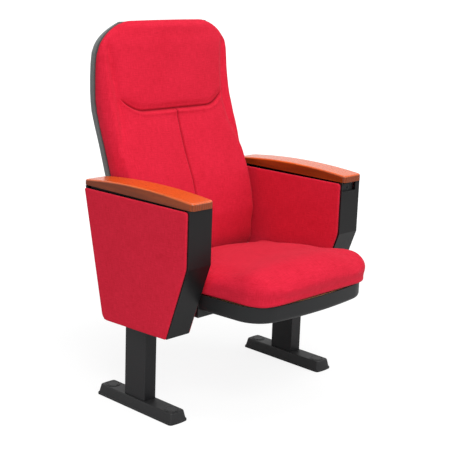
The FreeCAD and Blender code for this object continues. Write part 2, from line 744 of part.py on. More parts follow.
# Writing tablet, stowed on edge between the inner panel and the column of the right arm
def tablet():
    wall = MIDDLE + " - box_half"
    near = wall + " + tablet_gap"
    far = near + " + tablet_thick"
    corners = [
        ("tablet_front", "tablet_low"),
        ("tablet_rear", "tablet_low"),
        ("tablet_rear", "tablet_high"),
        ("tablet_front", "tablet_high"),
    ]
    board = prism("tablet_board", "right", near, far, corners)
    rounded(board, "tablet_corner", at_corner("x", *corners[0]))
    rounded(board, "tablet_corner", at_corner("x", *corners[1]))
    keep("tablet_board", board)
    arm = block(
        "tablet_bar",
        (far, far + " + tablet_arm_thick"),
        ("front_y + band_thick + block_gap", "tablet_arm_rear"),
        ("block_low - tablet_arm_deep", "block_low"),
    )
    keep("tablet_arm", arm)
    body = block(
        "tablet_block",
        (MIDDLE + " - notch_in + block_gap", MIDDLE + " + notch_out - block_gap"),
        ("front_y + band_thick", "front_y + band_thick + block_long"),
        ("block_low", "panel_front_z - block_gap"),
    )
    pin_x = MIDDLE + " - tablet_pin_x"
    reach = ("front_y + band_thick", "front_y + band_thick + block_long - 4")
    bore = rod("tablet_bore", "tablet_pin", pin_x, reach, "tablet_pin_z", "y")
    keep("tablet_bracket", cut("tablet_bracket", body, bore))
    pin = rod("tablet_pin_rod", "tablet_pin", pin_x, reach, "tablet_pin_z", "y")
    mouth = ("front_y", "front_y + band_thick + 12")
    socket = rod("tablet_socket_bore", "tablet_socket", pin_x, mouth, "tablet_pin_z", "y")
    keep("tablet_pivot_pin", cut("tablet_pin", pin, socket))
    rest = block(
        "tablet_foam",
        (wall, far),
        ("column_y - tablet_rest_long / 2", "column_y + tablet_rest_long / 2"),
        ("tablet_low - tablet_rest_thick", "tablet_low"),
    )
    keep("tablet_rest", rest)


# Seat pivots: a pin and a sleeved stop peg welded to the inner wall of each column
def pivot(side):
    wall = MIDDLE + " - column_half"
    end = "plate_x - hinge_plate - 2"
    pin = turned_rods(
        side + "_pin",
        side,
        [("pivot_flange", wall + " - flange_thick", wall), ("pivot_pin", end, wall)],
        "pivot_y",
        "pivot_z",
    )
    keep(side + "_pivot_pin", pin)
    peg = turned_rods(
        side + "_peg",
        side,
        [("peg_flange", wall + " - flange_thick", wall), ("stop_peg", end, wall)],
        STOP_Y,
        STOP_Z,
    )
    keep(side + "_stop_peg", peg)
    reach = across(side, end, "pan_half + play * 4")
    sleeve = cut(
        side + "_sleeve_tube",
        rod(side + "_sleeve_outer", "stop_sleeve", reach, STOP_Y, STOP_Z, "x"),
        rod(side + "_sleeve_bore", "stop_peg", reach, STOP_Y, STOP_Z, "x"),
    )
    keep(side + "_stop_sleeve", sleeve)


def arc_slot(name, side, near, far, half):
    """Cutter for the curved slot in which the stop peg travels as the seat tips up."""
    reach = across(side, near, far)
    sector = rod(name + "_sector", "stop_radius + %s" % half, reach, "pivot_y", "pivot_z", "x")
    sector.setExpression("Angle", rule("tip_up"))
    core = rod(name + "_core", "stop_radius - (%s)" % half, reach, "pivot_y", "pivot_z", "x")
    ends = []
    for label, angle in (("start", "stop_angle"), ("finish", "stop_angle + tip_up")):
        y = "pivot_y + stop_radius * cos(%s)" % angle
        z = "pivot_z + stop_radius * sin(%s)" % angle
        ends.append(rod("%s_%s" % (name, label), half, reach, y, z, "x"))
    turn = FreeCAD.Rotation(FreeCAD.Vector(1, 0, 0), size("stop_angle"))
    forward, up, right = [FreeCAD.Vector(*way) for way in ((0, 1, 0), (0, 0, 1), (1, 0, 0))]
    stand = FreeCAD.Rotation(forward, up, right)
    sector.Placement = FreeCAD.Placement(sector.Placement.Base, turn.multiply(stand))
    return joined(name, [cut(name + "_ring", sector, core)] + ends)


# Seat: a moulded pan, a board, hinge plates with bushes, screws and the cushion
def pan_outline(inset):
    """Plan of the seat pan, drawn in by a distance."""
    return [
        ("-(pan_half - (%s))" % inset, "pan_rear - (%s)" % inset),
        ("-(pan_half - (%s))" % inset, "pan_bend"),
        ("-(pan_front_half - (%s))" % inset, "pan_front + %s" % inset, "pan_bow"),
        ("pan_front_half - (%s)" % inset, "pan_front + %s" % inset),
        ("pan_half - (%s)" % inset, "pan_bend"),
        ("pan_half - (%s)" % inset, "pan_rear - (%s)" % inset),
    ]


def tray(name, corners, low, top, corner_radii, edge_radius):
    """Block with rounded upright corners and a rounded lower edge."""
    body = doc.addObject("PartDesign::Body", name)
    padded(body, outline(body, "XY_Plane", corners, low), "(%s) - (%s)" % (top, low))
    for radius, picked in corner_radii:
        rounded(body, radius, either(*picked))
    rounded(body, edge_radius, on_plane("z", low))
    return body


def pan_shell(name, inset, front_low, belly_low, top):
    """Solid of the seat pan's outline, drawn in by a distance, with its deeper rear part."""
    corners = pan_outline(inset)
    belly = [
        corners[0],
        ("-(pan_half - (%s))" % inset, "belly_front + %s" % inset),
        ("pan_half - (%s)" % inset, "belly_front + %s" % inset),
        corners[5],
    ]
    front_radius, rear_radius = "pan_corner - (%s)" % inset, "pan_rear_corner - (%s)" % inset
    edge = "pan_edge - (%s)" % inset
    front_corners = (front_radius, (corners[2], corners[3]))
    rear_corners = (rear_radius, (corners[0], corners[5]))
    front = tray(name + "_front", corners, front_low, top, (front_corners, rear_corners), edge)
    rear = tray(name + "_belly", belly, belly_low, top, (rear_corners,), edge)
    return joined(name, [front, rear])


def either(*corners):
    """Test for the upright edges at any of the corners."""
    tests = [at_corner("z", corner[0], corner[1]) for corner in corners]
    return lambda edge: any(test(edge) for test in tests)


def seat_pan():
    outer = pan_shell("pan_outer", "0", "pan_low", "belly_low", "pan_top")
    inner = pan_shell(
        "pan_inner", "pan_wall", "pan_low + pan_wall", "belly_low + pan_wall", "pan_top + 1"
    )
    openings = []
    for side in SIDES:
        near, far = "pan_half - pan_wall - 2", "pan_half + 2"
        half = "stop_sleeve + pan_slot_gap"
        openings.append(arc_slot(side + "_pan_slot", side, near, far, half))
        reach = across(side, near, far)
        bore = "pivot_pin + hole_gap"
        openings.append(rod(side + "_pan_bore", bore, reach, "pivot_y", "pivot_z", "x"))
    keep("seat_pan", cut("seat_pan", outer, inner, *openings))


def seat_screws():
    """Screws from below through the flanges into the seat board, and their shanks as tools."""
    screws, shanks = [], []
    seat = "pan_top - board_thick - flange_thick_seat"
    for side in SIDES:
        for number, y in enumerate(("screw_fore", "screw_mid", "screw_aft"), start=1):
            x = "plate_x - hinge_plate - flange_wide / 2"
            if side == "left":
                x = "-(%s)" % x
            label = "%s_screw_%d" % (side, number)
            head = rod(label + "_head", "screw_head", x, y, (seat + " - screw_head_high", seat), "z")
            shank = rod(label + "_shank", "screw", x, y, (seat, seat + " + screw_long"), "z")
            shanks.append(copied(label + "_tool", shank))
            screws.append(joined(label, [head, shank]))
    keep("seat_screws", grouped("seat_screws", screws))
    return shanks


def seat_frame():
    shanks = seat_screws()
    under = "pan_top - board_thick"
    inset = "pan_wall + play"
    body = doc.addObject("PartDesign::Body", "board_body")
    front_half = "pan_front_half - 14"
    corners = [
        ("-board_half", "pan_rear - (%s)" % inset),
        ("-board_half", "pan_bend"),
        ("-(%s)" % front_half, "pan_front + %s" % inset, "pan_bow"),
        (front_half, "pan_front + %s" % inset),
        ("board_half", "pan_bend"),
        ("board_half", "pan_rear - (%s)" % inset),
    ]
    padded(body, outline(body, "XY_Plane", corners, under), "board_thick")
    rounded(body, "pan_corner", either(corners[2], corners[3]))
    keep("seat_board", cut("seat_board", body, *shanks))
    for side in SIDES:
        seat_hinge(side, shanks, under)


def seat_hinge(side, shanks, under):
    near, far = "plate_x - hinge_plate", "plate_x"
    flange_low = under + " - flange_thick_seat"
    plate = prism(
        side + "_hinge_body",
        side,
        near,
        far,
        [
            ("hinge_fore", "hinge_top"),
            ("hinge_fore", "pan_low + pan_wall + 6"),
            ("pivot_y - stop_radius - 14", "hinge_low"),
            ("pivot_y + stop_radius - 8", "hinge_low"),
            ("hinge_aft", "pan_low"),
            ("hinge_aft", "hinge_top"),
        ],
    )
    flange = block(
        side + "_flange",
        across(side, near + " - flange_wide", near),
        ("hinge_fore", "hinge_aft"),
        (flange_low, under),
    )
    solid = joined(side + "_hinge_solid", [plate, flange])
    reach = across(side, near + " - 2", far + " + 2")
    bore = rod(side + "_bush_bore", "bush", reach, "pivot_y", "pivot_z", "x")
    clear = across(side, near + " - bush_collar", near)
    relief = rod(side + "_flange_relief", "bush_collar + 1", clear, "pivot_y", "pivot_z", "x")
    slot = arc_slot(side + "_slot", side, near + " - 14", far + " + 2", "stop_sleeve + slot_gap")
    tools = [bore, relief, slot] + [copied(side + tool.Name, tool) for tool in shanks]
    keep(side + "_seat_hinge", cut(side + "_hinge", solid, *tools))

    shell = turned_rods(
        side + "_bush_turned",
        side,
        [("bush", near, far), ("bush_collar", far, far + " + collar_thick")],
        "pivot_y",
        "pivot_z",
    )
    through = across(side, near + " - 1", far + " + collar_thick + 1")
    hole = rod(side + "_bush_hole", "pivot_pin + run_fit", through, "pivot_y", "pivot_z", "x")
    keep(side + "_seat_bush", cut(side + "_bush", shell, hole))


# Seat cushion: sections across the seat, each with drawn in sides and a crowned top
def seat_section(y, half, low, high, drop):
    """Closed wire at one depth: flat below, swelling sides, an arched top."""
    bulge = size("seat_bulge")
    shoulder = high - drop
    middle = (low + shoulder) / 2
    point = lambda x, z: FreeCAD.Vector(x, y, z)
    inner, outer = half - bulge * 1.2, half + bulge
    edges = [
        Part.LineSegment(point(-half, low), point(half, low)),
        Part.Arc(point(half, low), point(outer, middle), point(inner, shoulder)),
        Part.Arc(point(inner, shoulder), point(0, high), point(-inner, shoulder)),
        Part.Arc(point(-inner, shoulder), point(-outer, middle), point(-half, low)),
    ]
    return Part.Wire([edge.toShape() for edge in edges])


def seat_cushion():
    low, drop, high = size("pan_top + cushion_gap"), size("seat_edge_drop"), size("seat_high")
    front, bend, rear = size("pan_front"), size("pan_bend"), size("pan_rear")
    front_half, over, corner = size("pan_front_half"), size("seat_over"), size("seat_corner")
    half = size("pan_half - seat_bulge / 3")
    long, trim = rear - bend, size("seat_bulge")
    # depth along the seat, half the width, underside, crown, how much the edge drops
    stations = [
        (front - over, front_half - corner, low + high * 0.24, low + high * 0.56, drop * 0.8),
        (front - over * 0.86, front_half - corner * 0.74, low + high * 0.1, low + high * 0.7, drop),
        (front - over / 2, front_half - corner * 0.41, low + high * 0.04, low + high * 0.85, drop),
        (front + over * 0.22, front_half - corner * 0.14, low, low + high * 0.96, drop),
        (front + over * 1.28, front_half, low, low + high, drop * 0.9),
        ((bend + front) / 2, half - trim * 0.75, low, low + high * 0.94, drop),
        (bend, half, low, low + high * 0.82, drop),
        (bend + long * 0.42, half, low, low + high * 0.67, drop),
        (bend + long * 0.71, half, low, low + high * 0.55, drop),
        (rear - long * 0.07, half - trim / 6, low, low + high * 0.48, drop),
        (rear - long * 0.02, half - trim / 2, low, low + high * 0.4, drop * 0.8),
        (rear - long * 0.005, half - trim, low + high * 0.05, low + high * 0.3, drop / 2),
    ]
    # shares of the cushion's length at which it has its sections
    shares = [0, 0.5, 1.1, 2, 3, 4.5, 6.5, 9, 12, 16]
    shares += [20 + step * 5.5 for step in range(14)]
    shares += [94.5, 97, 98.5, 99.6, 100]
    first, last = stations[0][0], stations[-1][0]
    wires = []
    for share in shares:
        depth = first + (last - first) * share / 100
        wires.append(seat_section(depth, *eased(stations, depth)))
    keep("seat_cushion", loft("seat_cushion", wires))


# Back: a moulded shell, a board in its recess, a cushion in front and two steel brackets
def rear_curve(z):
    """Rear face of the back: parallel to the arms below, bowed above them."""
    lean = math.tan(math.radians(size("rear_tilt")))
    lap = size("shell_lap") / math.cos(math.radians(size("rear_tilt")))
    joint, top = size("cap_low"), size("back_top")
    straight = size("heel_y") + lap + (min(z, joint) - size("heel_z")) * lean
    # share of the height above the arms, share of the lean reached by then
    bow = [(0, 0), (0.24, 0.48), (0.46, 0.94), (0.6, 1), (0.76, 0.96), (0.87, 0.84), (0.95, 0.7)]
    share = max(z - joint, 0) / (top - joint)
    return straight + size("back_bow") * eased(bow + [(1, 0.6)], share)[0]


def face_curve(z):
    """Front of the shell's rim, which thins towards the top."""
    low, top = size("back_low"), size("back_top")
    thins = [(0.87, 0), (0.92, 0.1), (0.96, 0.5), (1, 1)]
    spare = size("shell_thick - shell_top_thick")
    return rear_curve(z) - size("shell_thick") + spare * eased(thins, (z - low) / (top - low))[0]


def rib_heights():
    """Heights at which shell, board and cushion have their sections in common."""
    shares = (0, 8, 18, 27, 36, 43, 50, 57.5, 63, 67, 71, 77, 82.5, 87)
    shares += (90, 92, 93.8, 95, 96.5, 97.8, 98.7, 99.3)
    low, top = size("back_low"), size("back_top")
    return [low + (top - low) * share / 100 for share in shares]


def ribbed(curve, z):
    """A curve of the shell, straight from one section to the next as its faces are."""
    ribs = rib_heights()
    if not ribs[0] <= z < ribs[-1]:
        return curve(z)
    index = sum(rib <= z for rib in ribs) - 1
    start, stop = ribs[index], ribs[index + 1]
    part = (z - start) / (stop - start)
    return curve(start) * (1 - part) + curve(stop) * part


def back_half(z):
    """Half the width of the back at a height, with rounded upper corners."""
    corner = size("back_corner_high")
    swell = min(max((z - size("cap_low")) / corner, 0), 1)
    over = max(z - size("back_top") + corner, 0) / corner
    return size("back_half") + size("back_swell") * swell - size("back_corner_in") * over**3.2


def shell_section(z, inset, front, rear, draw):
    """Closed wire at one height: flat in front, flat behind, rounded sides."""
    half = back_half(z) - inset
    point = lambda x, y: FreeCAD.Vector(x, y, z)
    middle = (front + rear) / 2
    out, end = half - draw * 0.25, half - draw
    edges = [
        Part.LineSegment(point(-half, front), point(half, front)),
        Part.Arc(point(half, front), point(out, middle), point(end, rear)),
        Part.LineSegment(point(end, rear), point(-end, rear)),
        Part.Arc(point(-end, rear), point(-out, middle), point(-half, front)),
    ]
    return Part.Wire([edge.toShape() for edge in edges])


def back_shell():
    draw = size("shell_side")
    wires = [shell_section(z, 0, face_curve(z), rear_curve(z), draw) for z in rib_heights()]
    outer = loft("shell_outer", wires)
    inset = size("board_inset")
    first = size("back_low + board_inset")
    board_thick = size("back_board_thick")
    gap = size("play")
    tools, boards = [], []
    for z in [first] + rib_heights()[1:14]:
        face = ribbed(face_curve, z)
        tools.append(shell_section(z, inset, face - 2, face + board_thick, 2))
        boards.append(shell_section(z, inset + gap, face, face + board_thick - gap, 2))
    recess = loft("shell_recess", tools)
    keep("back_board", loft("back_board", boards))
    bolt_tools = {side: back_bolts(side) for side in SIDES}
    holes = [tool for side in SIDES for tool in bolt_tools[side]["shell"]]
    keep("back_shell", cut("back_shell", outer, recess, *holes))
    return bolt_tools


def back_section(z, front, rear, swell, valley, trim):
    """Closed wire at one height: flat behind, swelling sides, two arcs that meet in front."""
    half = back_half(z) - trim
    crown = min(swell, (rear - front) * 0.45)
    point = lambda x, y: FreeCAD.Vector(x, y, z)
    edge = front + crown
    side = half - size("back_round")
    middle = (edge + rear) / 2
    base, bulged, mid = half - size("back_heel"), front + crown * 0.27, side * 0.52
    edges = [
        Part.LineSegment(point(-base, rear), point(base, rear)),
        Part.Arc(point(base, rear), point(half, middle), point(side, edge)),
        Part.Arc(point(side, edge), point(mid, bulged), point(0, front + valley)),
        Part.Arc(point(0, front + valley), point(-mid, bulged), point(-side, edge)),
        Part.Arc(point(-side, edge), point(-half, middle), point(-base, rear)),
    ]
    return Part.Wire([edge.toShape() for edge in edges])


def back_cushion():
    deep, depth, crown = size("channel_deep"), size("back_depth"), size("back_crown")
    trim = size("back_trim")
    seam, wide, sunk = size("seam_z"), size("seam_wide"), size("seam_deep")
    low, top = size("back_low"), size("back_top")
    lower = lambda share: low + (seam - low) * share / 100
    upper = lambda share: seam + (top - seam) * share / 100
    # height, depth at the middle, crown, channel, trim of the width
    stations = [
        (lower(1.4), depth * 0.4, crown, 0, trim / 2),
        (lower(2.8), depth * 0.54, crown, 0, trim / 5),
        (lower(6), depth * 0.69, crown, deep / 2, 0),
        (lower(11.4), depth * 0.78, crown * 0.9, deep, 0),
        (lower(22), depth * 0.9, crown * 0.5, deep, 0),
        (lower(36), depth * 0.97, crown * 0.25, deep, 0),
        (lower(50), depth * 0.94, crown * 0.2, deep, 0),
        (lower(64), depth * 0.84, crown * 0.2, deep, 0),
        (lower(80), depth * 0.77, crown * 0.4, deep, 0),
        (seam - wide * 2, depth * 0.78, crown * 0.6, deep, 0),
        (seam - wide, depth * 0.77, crown * 0.65, deep, 0),
        (seam, depth * 0.78 - sunk, crown * 0.7, 0, 0),
        (seam + wide, depth * 0.76, crown * 0.75, 0, 0),
        (seam + wide * 3, depth * 0.75, crown * 0.85, 0, 0),
        (upper(42), depth * 0.625, crown, 0, 0),
        (upper(70), depth * 0.48, crown, 0, 0),
        (upper(87), depth * 0.375, crown, 0, 0),
        (upper(94), depth * 0.38, crown, 0, 0),
        (upper(97.6), depth * 0.33, crown, 0, trim / 4),
        (upper(100), depth * 0.2, crown, 0, trim),
    ]
    levels = set(rib_heights()[1:])
    levels |= {lower(share) for share in (1.4, 1.9, 2.8, 4.2, 6, 9, 30, 42, 54, 66, 76, 88)}
    levels |= {seam + wide * step / 2 for step in range(-2, 3)}
    levels |= {upper(share) for share in (12, 22, 90, 92, 94, 96, 97.6, 99, 100)}
    wires = []
    for z in sorted(levels):
        reach, swell, valley, narrow = eased(stations, z)
        rear = ribbed(face_curve, z) - size("cushion_gap")
        wires.append(back_section(z, rear - reach, rear, swell, valley, narrow))
    keep("back_cushion", loft("back_cushion", wires))


def back_bolts(side):
    """Bolts of one bracket, two in the arm and two in the shell, and tools for their holes."""
    sign = -1 if side == "left" else 1
    bolts, tools = [], {"arm": [], "shell": []}
    spots = [
        ("arm", MIDDLE + " + bracket_out - bolt_in", "bracket_thick"),
        ("shell", "bracket_in + bolt_in", "shell_lap + bracket_thick"),
    ]
    ends = (("low", "bracket_low + bolt_in"), ("high", "bracket_high - bolt_in"))
    for label, x, face in spots:
        for end, along in ends:
            name = "%s_%s_%s_bolt" % (side, label, end)
            place = "(%s) * %d" % (x, sign)
            crown = (face, face + " + bolt_head_high")
            head = rod(name + "_head", "bolt_head", place, crown, along, "y")
            shank = rod(name + "_shank", "bolt", place, (face + " - bolt_long", face), along, "y")
            bolts.append(joined(name, [head, shank]))
            tools[label].append(leaning(name + "_tool", copied(name + "_tool_solid", shank)))
    keep(side + "_back_bolts", leaning(side + "_back_bolts", grouped(side + "_bolts", bolts)))
    return tools


def leaning(name, thing):
    """The thing moved into the slanted plane of the arms' rear edge."""
    made = doc.addObject("Part::Compound", name)
    made.Links = [thing]
    made.Placement = FreeCAD.Placement(
        FreeCAD.Vector(), FreeCAD.Rotation(FreeCAD.Vector(1, 0, 0), -size("rear_tilt"))
    )
    made.setExpression("Placement.Base.y", rule("heel_y"))
    made.setExpression("Placement.Base.z", rule("heel_z"))
    return made


def back_bracket(side, tools):
    """Steel strip bent twice: on the arm's rear band, past the shell's side, on the shell."""
    reach = ("bracket_low", "bracket_high")
    web_far = "back_half + play * 3 + bracket_web"
    pieces = [
        block(
            side + "_bracket_arm",
            across(side, "back_half + play * 3", MIDDLE + " + bracket_out"),
            ("0", "bracket_thick"),
            reach,
        ),
        block(
            side + "_bracket_web",
            across(side, "back_half + play * 3", web_far),
            ("0", "shell_lap + bracket_thick"),
            reach,
        ),
        block(
            side + "_bracket_shell",
            across(side, "bracket_in", web_far),
            ("shell_lap", "shell_lap + bracket_thick"),
            reach,
        ),
    ]
    solid = leaning(side + "_bracket_solid", joined(side + "_bracket", pieces))
    bored = cut(side + "_bracket_bored", solid, *tools["arm"], *tools["shell"])
    keep(side + "_back_bracket", bored)
    band = parts[side + "_rear_band"]
    band.Label = side + "_rear_band_plain"
    keep(side + "_rear_band", cut(side + "_rear_band_bored", band, *tools["arm"]))


for side in SIDES:
    foot(side)
    column(side)
    arm_box(side)
    panel(side, "outer")
    panel(side, "inner")
    pivot(side)
left_cap()
right_lid()
tablet()
seat_pan()
seat_frame()
seat_cushion()
bolt_tools = back_shell()
back_cushion()
for side in SIDES:
    back_bracket(side, bolt_tools[side])
doc.recompute()

for thing in doc.Objects:
    if "Invalid" in thing.State or "Error" in thing.State:
        raise RuntimeError("%s did not recompute: %s" % (thing.Name, thing.State))
for name, part in parts.items():
    if part.Shape.isNull() or not part.Shape.isValid() or not part.Shape.Solids:
        raise RuntimeError("%s has no valid solid" % name)

os.makedirs("parts", exist_ok=True)
for name, part in parts.items():
    part.Shape.exportStep("parts/%s.step" % name)
    box = part.Shape.BoundBox
    print(
        "%-22s %2d solid, %9.1f cm3, x %7.1f %7.1f  y %7.1f %7.1f  z %7.1f %7.1f"
        % (
            name,
            len(part.Shape.Solids),
            part.Shape.Volume / 1000,
            box.XMin,
            box.XMax,
            box.YMin,
            box.YMax,
            box.ZMin,
            box.ZMax,
        )
    )
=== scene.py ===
import math

import bmesh
import bpy
import numpy as np
from mathutils import Matrix, Vector
from mathutils.bvhtree import BVHTree


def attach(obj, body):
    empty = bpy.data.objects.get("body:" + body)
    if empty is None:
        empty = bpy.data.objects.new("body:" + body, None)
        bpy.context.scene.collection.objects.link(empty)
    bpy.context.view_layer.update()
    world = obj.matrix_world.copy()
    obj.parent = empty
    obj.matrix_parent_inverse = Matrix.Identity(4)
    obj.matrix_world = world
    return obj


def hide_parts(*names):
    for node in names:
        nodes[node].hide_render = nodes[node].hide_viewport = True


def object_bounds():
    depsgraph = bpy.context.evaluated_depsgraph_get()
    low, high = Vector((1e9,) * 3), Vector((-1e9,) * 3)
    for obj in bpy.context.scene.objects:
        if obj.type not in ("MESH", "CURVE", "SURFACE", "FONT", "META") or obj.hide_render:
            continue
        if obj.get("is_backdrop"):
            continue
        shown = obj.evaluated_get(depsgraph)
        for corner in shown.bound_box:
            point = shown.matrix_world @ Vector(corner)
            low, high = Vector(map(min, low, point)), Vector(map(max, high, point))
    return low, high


# Tip up auditorium seat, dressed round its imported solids. Metres throughout, X to the right as
# seen from the front, Y to the back, Z up.
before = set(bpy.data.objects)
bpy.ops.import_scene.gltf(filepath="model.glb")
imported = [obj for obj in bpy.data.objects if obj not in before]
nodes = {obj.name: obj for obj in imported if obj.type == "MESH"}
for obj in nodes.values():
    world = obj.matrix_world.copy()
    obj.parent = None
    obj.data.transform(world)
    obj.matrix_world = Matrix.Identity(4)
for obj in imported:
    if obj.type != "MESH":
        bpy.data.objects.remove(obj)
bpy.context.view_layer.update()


# ---------------------------------------------------------------------------------------------
# The room: a pale floor that runs out of view, a white surround and large soft lamps, the main
# one in front and to the left. The camera sees the floor fade to the surround's white, with the
# seat's shadow left in it.
def paint(code):
    """Linear colour of an sRGB hex value."""
    parts = [int(code[place : place + 2], 16) / 255 for place in (1, 3, 5)]
    linear = [
        part / 12.92 if part <= 0.04045 else ((part + 0.055) / 1.055) ** 2.4 for part in parts
    ]
    return (*linear, 1.0)


def add(tree, kind, inputs=None, **settings):
    """Adds a node with its settings; its inputs take values or other nodes' outputs."""
    node = tree.nodes.new(kind)
    for name, value in settings.items():
        setattr(node, name, value)
    for name, value in (inputs or {}).items():
        if isinstance(value, bpy.types.NodeSocket):
            tree.links.new(value, node.inputs[name])
        else:
            node.inputs[name].default_value = value
    return node


scene = bpy.context.scene
scene.view_settings.view_transform = "Standard"

# Share of the surround's white that lights the seat; camera and reflections see all of it.
SURROUND = 0.46
world = bpy.data.worlds.new("studio")
scene.world = world
world.use_nodes = True
tree = world.node_tree
tree.nodes.clear()
rays = add(tree, "ShaderNodeLightPath")
seen = add(
    tree, "ShaderNodeMath", {0: rays.outputs["Is Camera Ray"], 1: rays.outputs["Is Glossy Ray"]},
    operation="MAXIMUM",
)
seen = add(
    tree, "ShaderNodeMath", {0: seen.outputs[0], 1: rays.outputs["Is Transmission Ray"]},
    operation="MAXIMUM",
)
strength = add(
    tree, "ShaderNodeMapRange",
    {"Value": seen.outputs[0], "To Min": SURROUND, "To Max": 1.0},
)
sky = add(
    tree, "ShaderNodeBackground",
    {"Color": (1.0, 1.0, 1.0, 1.0), "Strength": strength.outputs[0]},
)
add(tree, "ShaderNodeOutputWorld", {"Surface": sky.outputs[0]})

FLOOR_REACH = 60.0
floor_mesh = bpy.data.meshes.new("floor")
corners = [(x * FLOOR_REACH, y * FLOOR_REACH, 0) for x, y in ((-1, -1), (1, -1), (1, 1), (-1, 1))]
floor_mesh.from_pydata(corners, [], [(0, 1, 2, 3)])
floor = bpy.data.objects.new("floor", floor_mesh)
scene.collection.objects.link(floor)
floor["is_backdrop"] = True
pale = bpy.data.materials.new("pale_floor")
pale.use_nodes = True
tree = pale.node_tree
tree.nodes.clear()
rays = add(tree, "ShaderNodeLightPath")
lit = add(tree, "ShaderNodeBsdfDiffuse", {"Color": paint("#DCDCDC")})
glow = add(tree, "ShaderNodeEmission", {"Color": (1.0, 1.0, 1.0, 1.0), "Strength": 1.2})
place = add(tree, "ShaderNodeTexCoord").outputs["Object"]
away = add(tree, "ShaderNodeVectorMath", {0: place}, operation="LENGTH")
# Near the seat the camera sees the floor's shading with the glow over it, beyond 2.5 m only glow.
white = add(
    tree, "ShaderNodeMapRange",
    {
        "Value": away.outputs["Value"],
        "From Min": 0.6,
        "From Max": 2.5,
        "To Min": 0.7,
        "To Max": 1.0,
    },
)
share = add(
    tree, "ShaderNodeMath", {0: rays.outputs["Is Camera Ray"], 1: white.outputs[0]},
    operation="MULTIPLY",
)
both = add(
    tree, "ShaderNodeMixShader", {0: share.outputs[0], 1: lit.outputs[0], 2: glow.outputs[0]}
)
add(tree, "ShaderNodeOutputMaterial", {"Surface": both.outputs[0]})
floor_mesh.materials.append(pale)

# name, place, what it looks at, width, height, watts
LAMPS = [
    ("key_softbox", (-1.9, -2.5, 2.9), (0.0, 0.0, 0.55), 1.9, 1.7, 88),
    ("right_softbox", (2.2, -2.7, 2.6), (0.0, 0.0, 0.5), 1.6, 1.8, 26),
    ("top_softbox", (0.1, -0.3, 3.5), (0.0, 0.0, 0.5), 2.0, 2.0, 40),
]
for name, place, target, width, height, watts in LAMPS:
    lamp = bpy.data.lights.new(name, "AREA")
    lamp.shape = "RECTANGLE"
    lamp.size, lamp.size_y, lamp.energy = width, height, watts
    holder = bpy.data.objects.new(name, lamp)
    holder.location = place
    aim = Vector(target) - Vector(place)
    holder.rotation_euler = aim.to_track_quat("-Z", "Y").to_euler()
    scene.collection.objects.link(holder)

# The camera is fitted to the photograph: left of the seat and a little above it.
EYE = Vector((-2.2411, -2.1671, 1.2187))
LOOK_AT = Vector((-0.0104, -0.0152, 0.4715))
ROLL = math.radians(2.01)
LENS = 90.65
ahead = (LOOK_AT - EYE).normalized()
level = ahead.cross(Vector((0, 0, 1))).normalized()
above = level.cross(ahead)
right = level * math.cos(ROLL) + above * math.sin(ROLL)
above = above * math.cos(ROLL) - level * math.sin(ROLL)
lens = bpy.data.cameras.new("camera")
lens.lens, lens.sensor_width = LENS, 36
camera = bpy.data.objects.new("camera", lens)
turned = Matrix((right, above, -ahead)).transposed().to_4x4()
camera.matrix_world = Matrix.Translation(EYE) @ turned
scene.collection.objects.link(camera)
scene.camera = camera


# ---------------------------------------------------------------------------------------------
# Feet: a flat steel plate under each column, hidden by a moulded polypropylene shoe whose two
# round caps cover the floor bolts. The plastic has a fine spark eroded grain and is a little
# paler where shoes scuff its upper edges.
MM = 0.001  # lengths below are written in millimetres times this


def finish_of(name, uniform):
    """New material; the uniform values are set on its shader's own sockets."""
    made = bpy.data.materials.new(name)
    made.use_nodes = True
    shader = made.node_tree.nodes["Principled BSDF"]
    for socket, value in uniform.items():
        shader.inputs[socket].default_value = value
    return made, made.node_tree, shader


def edge_mask(tree, radius):
    """Output that is 0 on flats and rises to 1 along edges, and the softened normal."""
    soft = add(tree, "ShaderNodeBevel", {"Radius": radius}, samples=4)
    hard = add(tree, "ShaderNodeNewGeometry")
    along = add(
        tree, "ShaderNodeVectorMath", {0: soft.outputs[0], 1: hard.outputs["Normal"]},
        operation="DOT_PRODUCT",
    )
    mask = add(
        tree, "ShaderNodeMapRange",
        {"Value": along.outputs["Value"], "From Min": 0.995, "From Max": 0.8},
    )
    return mask.outputs[0], soft.outputs[0]


def dress(material, *names):
    """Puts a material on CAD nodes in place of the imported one."""
    for name in names:
        nodes[name].data.materials.clear()
        nodes[name].data.materials.append(material)


